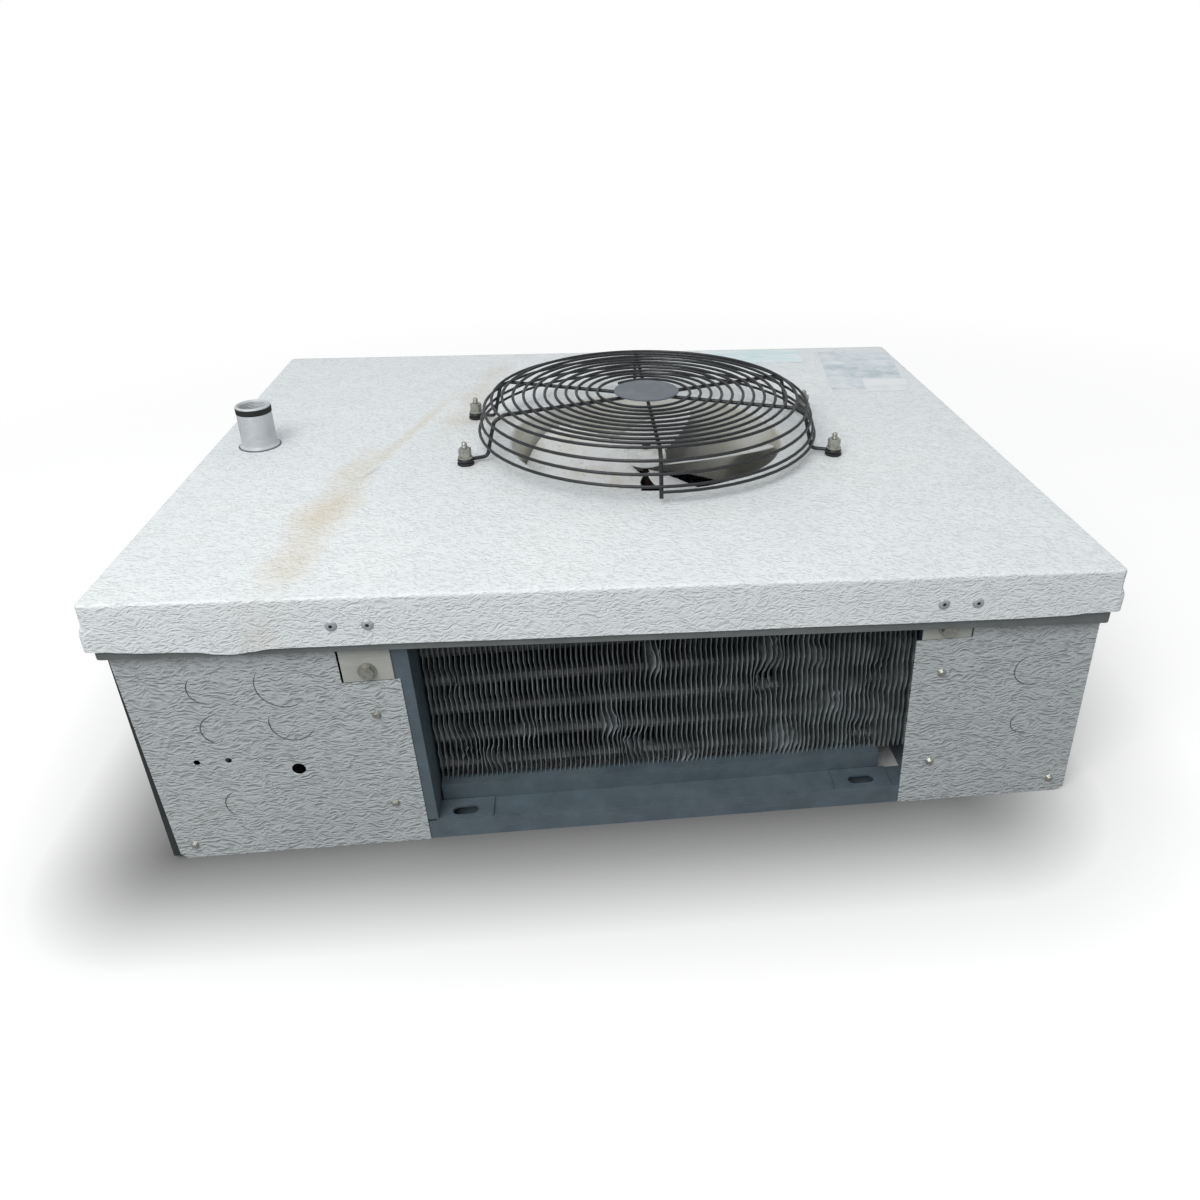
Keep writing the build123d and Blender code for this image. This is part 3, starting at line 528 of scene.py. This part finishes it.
def make_fins(name, node, seed, patches):
    """One coil's fins: thin strips whose front edges wander, hook at each tube row and are bent in places."""
    rng = random.Random(seed)
    lo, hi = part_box(node)
    pitch, thick, row = 4.6 * MM, 0.3 * MM, 31.75 * MM
    count = int(round((hi.x - lo.x) / pitch)) + 1
    front = -1 if lo.y < 0 else 1
    edge = lo.y if front < 0 else hi.y
    levels = int((hi.z - lo.z) / (row / 8))
    depths = [0.0, 3 * MM, 7 * MM] + [d * MM for d in (14, 24, 36, 50, 66)]
    bm = bmesh.new()
    for i in range(count):
        x0 = lo.x + thick / 2 + i * (hi.x - lo.x - thick) / (count - 1)
        lean = rng.uniform(-0.25, 0.25) * MM
        layers = []
        for side in (-1, 1):
            sheet = []
            for k in range(levels + 1):
                z = lo.z + (hi.z - lo.z) * k / levels
                phase = ((z - lo.z) / row) % 1.0
                hook = (1.1 * (1 - (2 * phase - 1) ** 2) - 0.5) * MM
                drift = 0.9 * MM * noise.noise(Vector((x0 * 18, z * 45, seed)))
                push = 0.0
                for px, pz, pw, ph, amount in patches:
                    near = math.exp(-((x0 / MM - px) / pw) ** 4 - ((z / MM - pz) / ph) ** 4)
                    ragged = 1.15 + 0.9 * noise.noise(Vector((x0 * 300, z * 220, px)))
                    push += amount * near * ragged
                line = []
                for j, d in enumerate(depths):
                    fade = max(0.0, 1 - d / (14 * MM))
                    ripple = 1.9 * MM * (1 - fade) * (-1) ** j
                    x = x0 + (hook + drift + lean + push * MM) * fade + ripple + side * thick / 2
                    y = edge - front * d
                    line.append(bm.verts.new((x, y, z)))
                sheet.append(line)
            layers.append(sheet)
        for sheet in layers:
            bridge(bm, sheet, closed_ring=False)
        a, b = layers
        for k in range(levels):
            for j in (0, -1):
                bm.faces.new((a[k][j], a[k + 1][j], b[k + 1][j], b[k][j]))
        for k in (0, -1):
            for j in range(len(depths) - 1):
                bm.faces.new((a[k][j], a[k][j + 1], b[k][j + 1], b[k][j]))
    piece(name, bm, fin_metal, replaces=(node,), smooth=50)


# ------------------------------------------------------------------ drain pan
FOLD_R, CORNER_R, SHEET = 2.6 * MM, 5 * MM, 1.0 * MM
# how far the front lip hangs down along the width: (distance from the left end, depth) in mm
LIP_LINE = ((0, 42.4), (14, 43.0), (26, 44.2), (40, 45.2), (66, 45.6), (84, 46.4), (100, 49.0), (112, 49.6),
            (128, 47.6), (140, 45.6), (162, 45.2), (258, 45.0), (420, 44.5), (640, 43.6), (745, 43.0),
            (790, 41.8), (815, 40.0), (838, 38.8))


LIP_BLEND = 45 * MM                          # how far back the front lip's line fades into the plain lip


def curve_at(line, x):
    """A smooth line through the given points."""
    for (x0, y0), (x1, y1) in zip(line, line[1:]):
        if x <= x1:
            t = min(max((x - x0) / (x1 - x0), 0.0), 1.0)
            return y0 + (y1 - y0) * t * t * (3 - 2 * t)
    return line[-1][1]


def edge_loop(w, d, r, step):
    """Points round a rounded rectangle: (x, y, outward x, outward y), counter-clockwise."""
    loop = []
    for k, (sx, sy) in enumerate(((1, -1), (1, 1), (-1, 1), (-1, -1))):
        cx, cy = sx * (w / 2 - r), sy * (d / 2 - r)
        start = math.radians(90 * k - 90)
        for i in range(9):
            a = start + math.pi / 2 * i / 8
            loop.append((cx + r * math.cos(a), cy + r * math.sin(a), math.cos(a), math.sin(a)))
        nx, ny = math.cos(start + math.pi / 2), math.sin(start + math.pi / 2)
        length = (d if k % 2 == 0 else w) - 2 * r
        ex, ey = cx + r * nx, cy + r * ny
        count = int(length / step)
        for i in range(1, count):
            t = length * i / count
            loop.append((ex - ny * t, ey + nx * t, nx, ny))
    return loop


def lip_shape(x, y, z, nx, depth):
    """Sideways push of the lip at one place, with the crimped ears at the corners."""
    near = math.hypot(abs(x) - PAN_W / 2, abs(y) - PAN_D / 2)
    down = min(max((-z - 0.40 * depth) / (0.25 * depth), 0.0), 1.0)
    ear = 3.6 * MM * math.exp(-(near / (12 * MM)) ** 2) * down * down * (3 - 2 * down)
    side = 0.35 + 0.65 * nx * nx
    sway = 0.7 * MM * noise.noise(Vector((x * 9, y * 9, 4.0))) * min(1.0, -z / depth)
    return ear * side + sway


def pan_sag(x, y):
    """How far the skin is out of flat at one place on the pan."""
    return 0.9 * MM * noise.noise(Vector((x * 5, y * 5, 1.0)))


def make_pan_skin():
    """The stucco skin: a rounded fold, a lip with a wavy foot, dents, and the fan opening's rolled edge."""
    loop = edge_loop(PAN_W, PAN_D, CORNER_R, 5 * MM)
    rings = []

    def ring(inset, height, top=False):
        made = []
        for x, y, nx, ny in loop:
            depth = curve_at(LIP_LINE, (x + PAN_W / 2) / MM)
            back = min(max((y + PAN_D / 2) / LIP_BLEND, 0.0), 1.0)
            depth = depth * MM + (SKIN_LIP - depth * MM) * back
            z = height if top else -FOLD_R + (height + FOLD_R) * (depth - FOLD_R) / (SKIN_LIP - FOLD_R)
            push = 0.0 if top else lip_shape(x, y, z, nx, depth)
            made.append(bm.verts.new((x - nx * (inset - push), y - ny * (inset - push), z)))
        rings.append(made)

    bm = bmesh.new()
    heights = [-FOLD_R - (SKIN_LIP - FOLD_R) * i / 16 for i in range(17)]
    ring(SHEET, heights[0])
    for h in heights[1:]:
        ring(SHEET, h)
    ring(SHEET * 0.8, heights[-1] - 0.15 * MM)
    ring(SHEET * 0.2, heights[-1] - 0.15 * MM)
    for h in reversed(heights):
        ring(0.0, h)
    for i in range(1, 7):
        a = math.pi / 2 * i / 6
        ring(FOLD_R * (1 - math.cos(a)), -FOLD_R * (1 - math.sin(a)), top=True)
    inner = rings[-1]
    hole = 148.5 * MM
    for share in (0.04, 0.12, 0.25, 0.42, 0.6, 0.78, 0.9, 1.0):
        made = []
        for v in inner:
            away = Vector((v.co.x - FAN_U, v.co.y))
            rim = away.normalized() * (hole + 3 * MM)
            p = away.lerp(rim, share)
            x, y = p.x + FAN_U, p.y
            fade = min(1.0, share * 4, (1 - share) * 4)
            made.append(bm.verts.new((x, y, pan_sag(x, y) * fade)))
        rings.append(made)
    edge = rings[-1]
    for drop, reach in ((0.5, 1.0), (1.6, 0.1), (3.0, 0.0), (5.0, 0.0), (5.0, 1.0)):
        rings.append([bm.verts.new((FAN_U + (v.co.x - FAN_U) * (hole + reach * MM) / (hole + 3 * MM),
                                    v.co.y * (hole + reach * MM) / (hole + 3 * MM), -drop * MM))
                      for v in edge])
    bridge(bm, rings)
    piece("pan_stucco_skin", bm, pan_paint, replaces=("pan_skin",), at=PAN, smooth=40)


RIVET_PAIRS, RIVET_GAP, RIVET_DROP = (-212.5 * MM, 282.5 * MM), 28.6 * MM, 26 * MM


def make_rivets():
    """Blind rivets: a domed flange round a sunk mandrel."""
    bodies, cores = bmesh.new(), bmesh.new()
    upright = Matrix.Rotation(math.pi / 2, 4, "X")
    dome = ((4.9, -0.4), (4.9, 0.3), (4.5, 0.8), (3.4, 1.35), (2.3, 1.6), (1.6, 1.6), (1.5, 0.9), (0, 0.9))
    core = ((1.45, 0.8), (1.45, 1.2), (1.0, 1.45), (0, 1.4))
    for x in RIVET_PAIRS:
        for sx in (-1, 1):
            u = x + sx * RIVET_GAP / 2
            for sy in (-1, 1):
                turn = Matrix.Rotation(math.pi * (sy > 0), 4, "Z")
                at = Matrix.Translation((u, sy * PAN_D / 2, -RIVET_DROP)) @ turn @ upright
                lathe(bodies, [(r * MM, h * MM) for r, h in dome], 28, at)
                lathe(cores, [(r * MM, h * MM) for r, h in core], 14, at)
    piece("rivet_heads", bodies, rivet_metal, replaces=("pan_rivets",), at=PAN)
    # the mandrels are made near-black: painted shade in the rivets' holes
    piece("rivet_mandrels", cores, dark_hole, at=PAN)


def make_drain():
    """The round coupling: a thin wall with an inner thread, a dark band below the rim and a foot ring."""
    lo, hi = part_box("drain_fitting")
    u = ((lo.x + hi.x) / 2 - 23 * MM * math.sin(SLOPE) - PAN_X) / math.cos(SLOPE)
    at = PAN @ Matrix.Translation((u, 0, 0))
    wall = [(20.6, 0.2), (20.6, 1.4), (20.0, 2.4), (19.0, 2.8), (18.5, 3.8), (18.2, 8.0), (18.0, 20.0), (18.0, 44.6),
            (17.6, 45.6), (16.8, 46.0), (15.6, 46.0), (15.1, 45.5)]
    thread, h = [], 45.0
    while h > 22.0:
        thread += [(15.0, h), (14.2, h - 0.8)]
        h -= 1.6
    wall += thread + [(13.6, 20.0), (13.2, -8.0)]
    bm = bmesh.new()
    lathe(bm, [(r * MM, z * MM) for r, z in wall], 64, at)
    piece("drain_coupling", bm, drain_metal, replaces=("drain_fitting",), smooth=60)
    bm = bmesh.new()
    lathe(bm, [(r * MM, z * MM) for r, z in ((18.2, 38.0), (18.35, 39.0), (18.35, 43.2), (18.1, 44.2))], 64, at)
    piece("drain_dark_band", bm, dark_hole)
    bm = bmesh.new()
    lathe(bm, [(r * MM, z * MM) for r, z in ((19.4, 0.0), (21.8, 0.0), (22.0, 0.5), (20.5, 1.0))], 64, at)
    piece("drain_gasket", bm, galvanised)


# ------------------------------------------------------------------ fan
BLADES, BLADE_TURN, BLADE_TILT = 5, 9.0, 24.0      # count, degrees of the first blade, pitch in degrees
TIP_R, ROOT_R = 142.3 * MM, 17 * MM


def make_fan_blades():
    """Wide pressed aluminium blades: pitched, cambered and rounded at their tips."""
    lo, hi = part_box("fan_blades")
    middle = (lo.z + hi.z) / 2
    bm = bmesh.new()
    across, along = 14, 18
    for k in range(BLADES):
        turn = Matrix.Translation((FAN.x, FAN.y, middle)) @ Matrix.Rotation(
            math.radians(BLADE_TURN + k * 360 / BLADES), 4, "Z")
        sheets = []
        for side in (-1, 1):
            sheet = []
            for i in range(along + 1):
                r = ROOT_R + (TIP_R - ROOT_R) * i / along
                grow = (r - ROOT_R) / (TIP_R - ROOT_R)
                corner = math.sqrt(max(0.0, 1 - (max(0.0, grow - 0.80) / 0.22) ** 2))
                half = math.radians(32 - 7 * grow) * (0.55 + 0.45 * corner)
                lag = math.radians(6) * grow * grow
                line = []
                for j in range(across + 1):
                    t = 2 * j / across - 1
                    a = lag + half * t * (1.0 if grow > 0.12 else 0.8)
                    arc = r * math.sin(a - lag)
                    lift = -arc * math.tan(math.radians(BLADE_TILT)) - 5 * MM * (t * t - 0.4) * grow
                    line.append(bm.verts.new(turn @ Vector((r * math.cos(a), r * math.sin(a),
                                                            lift + side * 0.7 * MM))))
                sheet.append(line)
            sheets.append(sheet)
        for sheet in sheets:
            bridge(bm, sheet, closed_ring=False)
        low, high = sheets
        for i in range(along):
            for j in (0, -1):
                bm.faces.new((low[i][j], low[i + 1][j], high[i + 1][j], high[i][j]))
        for i in (0, -1):
            for j in range(across):
                bm.faces.new((low[i][j], low[i][j + 1], high[i][j + 1], high[i][j]))
    piece("fan_blade_set", bm, blade_metal, body="rotor", replaces=("fan_blades",), smooth=50)


def make_fan_hub():
    """The hub: a stepped boss with a rounded cap and a bore for the shaft."""
    lo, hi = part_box("fan_hub")
    z0, z1 = lo.z, hi.z
    at = Matrix.Translation((FAN.x, FAN.y, 0))
    low = ((4.8, 0), (11.5, 0), (12, 4), (21, 5), (21.5, 7))
    high = ((21.5, 7), (20.5, 5), (13, 4), (11.5, 1), (10.5, 0), (4.8, 0))
    profile = [(r * MM, z0 + h * MM) for r, h in low] + [(r * MM, z1 - h * MM) for r, h in high]
    bm = bmesh.new()
    lathe(bm, profile, 40, at)
    piece("fan_hub_turned", bm, blade_metal, body="rotor", replaces=("fan_hub",))


def make_fan_ring():
    """The deep ring that the fan turns in, with a rolled upper edge."""
    line = [(158, -1.1), (150.5, -1.1), (148.6, -1.6), (147.4, -3.0), (147.0, -5.0), (147.0, -103.6), (147.4, -104.6),
            (148.2, -104.6), (148.2, -5.2), (149.0, -3.2), (150.8, -2.3), (158, -2.3), (158, -1.1)]
    bm = bmesh.new()
    lathe(bm, [(r * MM, h * MM) for r, h in line], 128)
    piece("fan_ring", bm, ring_metal, replaces=("fan_venturi",), at=GUARD_AT, smooth=40)


# ------------------------------------------------------------------ blank labels on the pan
def make_label(name, corners, material, thick=0.25 * MM):
    """A thin sticker laid on the pan with slightly curled, rubbed corners. Corners are on the pan in mm."""
    a, b, c, d = [Vector((u, v, 0)) * MM for u, v in corners]
    bm = bmesh.new()
    nx, ny, rings = 24, 12, []
    for i in range(nx + 1):
        row = []
        for k in range(ny + 1):
            v = a.lerp(b, i / nx).lerp(d.lerp(c, i / nx), k / ny)
            edge = min(i, nx - i, k * 2, (ny - k) * 2)
            ragged = 0.8 * MM * noise.noise(v * 160) if edge == 0 else 0.0
            curl = 0.5 * MM * max(0.0, noise.noise(v * 30)) if edge <= 1 else 0.0
            under = max(0.0, pan_sag(v.x, v.y))
            row.append(bm.verts.new((v.x + ragged, v.y + ragged, thick + curl + under)))
        rings.append(row)
    bridge(bm, rings, closed_ring=False)
    faces = list(bm.faces)
    grown = bmesh.ops.extrude_face_region(bm, geom=faces)["geom"]
    for v in grown:
        if isinstance(v, bmesh.types.BMVert):
            v.co.z -= thick * 0.9
    piece(name, bm, material, at=PAN)


def make_labels():
    """The blank stickers at the back right of the pan."""
    make_label("label_teal", ((151, 268), (287, 262), (290, 322), (153, 327)), label_teal)
    make_label("label_rating", ((296, 145), (392, 139), (416, 300), (318, 309)), label_silver)
    make_label("label_white", ((338, 134), (388, 132), (404, 180), (346, 184)), label_white, 0.45 * MM)


# ------------------------------------------------------------------ end covers
CASE_DROP = 12 * MM


def under_pan(x):
    """Height of the cover tops under the sloping pan."""
    return PAN_Z - (x - PAN_X) * math.tan(SLOPE) - CASE_DROP / math.cos(SLOPE)


def circle(x, z, r, count=32):
    return [(x + r * math.cos(2 * math.pi * i / count), z + r * math.sin(2 * math.pi * i / count))
            for i in range(count)]


def make_cover(name, node, side, inner, notch, holes, knockouts):
    """A front cover sheet with its notch, clipped foot and holes; the knockouts are scored lines."""
    lo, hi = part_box(node)
    outer = side * max(abs(lo.x), abs(hi.x))
    y, t, clip = lo.y, 1.0 * MM, 5.6 * MM
    outline = [(inner, 0), (outer - side * clip, 0), (outer, clip), (outer, under_pan(outer)),
               (notch[0], under_pan(notch[0])), (notch[0], notch[1]), (inner, notch[1])]
    bm = bmesh.new()
    edges = []
    for path in [outline] + [circle(*hole) for hole in holes]:
        verts = [bm.verts.new((x, y, z)) for x, z in path]
        edges += [bm.edges.new((a, b)) for a, b in zip(verts, verts[1:] + verts[:1])]
    bmesh.ops.triangle_fill(bm, edges=edges, use_beauty=True)
    faces = list(bm.faces)
    grown = bmesh.ops.extrude_face_region(bm, geom=faces)["geom"]
    for v in grown:
        if isinstance(v, bmesh.types.BMVert):
            v.co.y += t
    obj = piece(name, bm, case_paint_with_painted_shade, replaces=(node,), smooth=30)
    round_off = obj.modifiers.new("edge", "BEVEL")
    round_off.width, round_off.segments, round_off.limit_method = 0.3 * MM, 2, "ANGLE"
    bm = bmesh.new()
    for x, z, r, start, sweep in knockouts:
        points = []
        for i in range(int(sweep / 6) + 1):
            a = math.radians(start + i * 6)
            points.append((x + r * math.cos(a), y - 0.02 * MM, z + r * math.sin(a)))
        tube(bm, points, lambda t: 0.45 * MM * min(1.0, 6 * t + 0.1, 6 * (1 - t) + 0.1), 6)
    piece(name + "_scores", bm, score_paint)
    return obj


def mm(*rows):
    """Rows whose first three numbers are in mm, and any that follow in degrees."""
    return [tuple(v * MM for v in row[:3]) + tuple(row[3:]) for row in rows]


def make_covers():
    """The two front covers. Holes are (x, z, radius); knockouts add the start and sweep of the scored line."""
    make_cover("left_cover", "cover_left_front", -1, -183.5 * MM, (-232 * MM, 181 * MM),
               mm((-370, 109, 2.8), (-343, 109, 2.8), (-285.5, 94, 6.0)),
               mm((-344, 185, 15, 130, 160), (-281, 184, 22.5, 140, 170), (-343, 142.5, 15, 100, 160),
                  (-281, 145, 19, 150, 190), (-342, 59.5, 15, 110, 130)))
    make_cover("right_cover", "cover_right_front", 1, 253.5 * MM, (302 * MM, 181 * MM), [],
               mm((359.5, 142.3, 15.5, 100, 200), (360, 84.7, 11, 120, 180)))


make_pan_skin()
make_fan_blades()
make_fan_hub()
make_fan_ring()
make_labels()
make_rivets()
make_drain()
make_covers()
make_guard_spiral()
make_guard_ribs()
make_medallion()
make_stud_sets()
make_fins("fins_front", "coil_fins_front", 3, FIN_PATCHES)
make_fins("fins_back", "coil_fins_back", 8, tuple((-x, z, w, h, -p) for x, z, w, h, p in FIN_PATCHES[::2]))


# ------------------------------------------------------------------ stage, light, camera
FLOOR_NEAR, FLOOR_FAR = 0.75, 1.7            # metres from the middle, where the floor turns plain white
FLOOR_BOUNCE, FLOOR_SEEN, FLOOR_GLOW = 0.34, 0.85, 0.22
# the shadow painted into the floor's colour and glow round the foot: its middle, half its size, how far it fades, and
# its tone at the foot
SHADE_MIDDLE, SHADE_HALF, SHADE_REACH, SHADE_DARK = (-0.05, -0.03, 0), (0.36, 0.28, 0), 0.25, 0.12
SKY_LOW, SKY_HIGH, SKY_LIGHT = 0.52, 1.0, 0.78


def make_floor():
    """A pale floor: white to the eye away from the object, with a soft shadow painted into its colour round its foot.
    """
    bm = bmesh.new()
    bmesh.ops.create_grid(bm, x_segments=1, y_segments=1, size=60.0)
    mesh = bpy.data.meshes.new("floor")
    bm.to_mesh(mesh)
    bm.free()
    floor = bpy.data.objects.new("floor", mesh)
    bpy.context.scene.collection.objects.link(floor)
    m = Material("floor_white", rough=0.95, specular=0.0)
    path = m.node("ShaderNodeLightPath")
    seen = m.math("MAXIMUM", path.outputs["Is Camera Ray"], path.outputs["Is Transmission Ray"])
    away = m.node("ShaderNodeVectorMath", 1, set_operation="LENGTH", i0=m.place)
    far = m.node("ShaderNodeMapRange", 0, Value=away)
    for i, value in ((1, FLOOR_NEAR), (2, FLOOR_FAR), (3, 0.0), (4, 1.0)):
        far.node.inputs[i].default_value = value
    beside = m.node("ShaderNodeVectorMath", 0, set_operation="SUBTRACT", i0=m.place, i1=SHADE_MIDDLE)
    beside = m.node("ShaderNodeVectorMath", 0, set_operation="ABSOLUTE", i0=beside)
    beside = m.node("ShaderNodeVectorMath", 0, set_operation="SUBTRACT", i0=beside, i1=SHADE_HALF)
    beside = m.node("ShaderNodeVectorMath", 0, set_operation="MAXIMUM", i0=beside, i1=(0, 0, 0))
    beside = m.node("ShaderNodeVectorMath", 1, set_operation="LENGTH", i0=beside)
    # painted shadow: the floor's colour and glow are darkened towards the object's foot
    painted_shadow_tone = m.ramp(m.math("MULTIPLY", beside, 1 / SHADE_REACH),
                  (0.0, SHADE_DARK), (0.22, 0.36), (0.55, 0.84), (1.0, 1.0))
    m.put(m.shader.inputs["Base Color"], m.mix(seen, FLOOR_BOUNCE, m.mix(far, m.mix(
        1.0, painted_shadow_tone, FLOOR_SEEN, "MULTIPLY"), 0.0)))
    glow = m.math("ADD", m.math("MULTIPLY", painted_shadow_tone, FLOOR_GLOW), m.math("MULTIPLY", far, 1.0 - FLOOR_GLOW))
    m.put(m.shader.inputs["Emission Color"], rgba(1.0))
    m.put(m.shader.inputs["Emission Strength"], m.math("MULTIPLY", seen, glow))
    mesh.materials.append(m.material)


def make_world():
    """A white backdrop to the eye; as a light, a soft sky that is brightest overhead."""
    world = bpy.data.worlds.new("world")
    bpy.context.scene.world = world
    world.use_nodes = True
    tree = world.node_tree
    tree.nodes.clear()
    link = tree.links.new
    path = tree.nodes.new("ShaderNodeLightPath")
    place = tree.nodes.new("ShaderNodeTexCoord")
    split = tree.nodes.new("ShaderNodeSeparateXYZ")
    ramp = tree.nodes.new("ShaderNodeValToRGB")
    sky, plain = tree.nodes.new("ShaderNodeBackground"), tree.nodes.new("ShaderNodeBackground")
    mix, out = tree.nodes.new("ShaderNodeMixShader"), tree.nodes.new("ShaderNodeOutputWorld")
    link(place.outputs["Generated"], split.inputs[0])
    link(split.outputs["Z"], ramp.inputs[0])
    low, high = ramp.color_ramp.elements
    low.position, low.color = 0.0, (SKY_LOW * 0.94, SKY_LOW, SKY_LOW * 1.06, 1)
    high.position, high.color = 0.75, (SKY_HIGH, SKY_HIGH, SKY_HIGH, 1)
    link(ramp.outputs[0], sky.inputs["Color"])
    sky.inputs["Strength"].default_value = SKY_LIGHT
    plain.inputs["Strength"].default_value = 1.0
    plain.inputs["Color"].default_value = (1, 1, 1, 1)
    link(path.outputs["Is Camera Ray"], mix.inputs[0])
    link(sky.outputs[0], mix.inputs[1])
    link(plain.outputs[0], mix.inputs[2])
    link(mix.outputs[0], out.inputs[0])


LAMP_PLACE, LAMP_AIM, LAMP_SIZE, LAMP_WATTS = (-0.7, -1.5, 1.9), (0, -0.05, 0.2), 1.4, 30.0


def make_lamp(name, place, aim, size, watts):
    """A square soft lamp."""
    lamp = bpy.data.lights.new(name, "AREA")
    lamp.shape, lamp.size, lamp.size_y, lamp.energy = "RECTANGLE", size, size, watts
    obj = bpy.data.objects.new(name, lamp)
    obj.location = place
    obj.rotation_euler = (Vector(aim) - Vector(place)).to_track_quat("-Z", "Y").to_euler()
    bpy.context.scene.collection.objects.link(obj)


CAM_PLACE = Vector((-0.0139, -0.9746, 0.6314))
CAM_TURN = (118.383, -1.942, -3.967)         # degrees about X, Y and Z, world to camera with Y down
SENSOR, PICTURE = 36.0, 1200.0
FOCAL, MIDDLE = 935.0, (627.6, 558.8)        # focal length and principal point on a 1200 x 1200 picture


def make_camera():
    """The camera, from its place, turn, focal length and principal point."""
    data = bpy.data.cameras.new("camera")
    data.sensor_width = SENSOR
    data.lens = FOCAL * SENSOR / PICTURE
    data.shift_x = (PICTURE / 2 - MIDDLE[0]) / PICTURE
    data.shift_y = (MIDDLE[1] - PICTURE / 2) / PICTURE
    camera = bpy.data.objects.new("camera", data)
    bpy.context.scene.collection.objects.link(camera)
    rx, ry, rz = (math.radians(a) for a in CAM_TURN)
    turn = Matrix.Rotation(rz, 3, "Z") @ Matrix.Rotation(ry, 3, "Y") @ Matrix.Rotation(rx, 3, "X")
    flip = Matrix(((1, 0, 0), (0, -1, 0), (0, 0, -1)))
    camera.matrix_world = Matrix.Translation(CAM_PLACE) @ (flip @ turn).transposed().to_4x4()
    bpy.context.scene.camera = camera


make_floor()
make_world()
make_lamp("key", LAMP_PLACE, LAMP_AIM, LAMP_SIZE, LAMP_WATTS)
make_camera()
bpy.context.scene.view_settings.view_transform = "Standard"
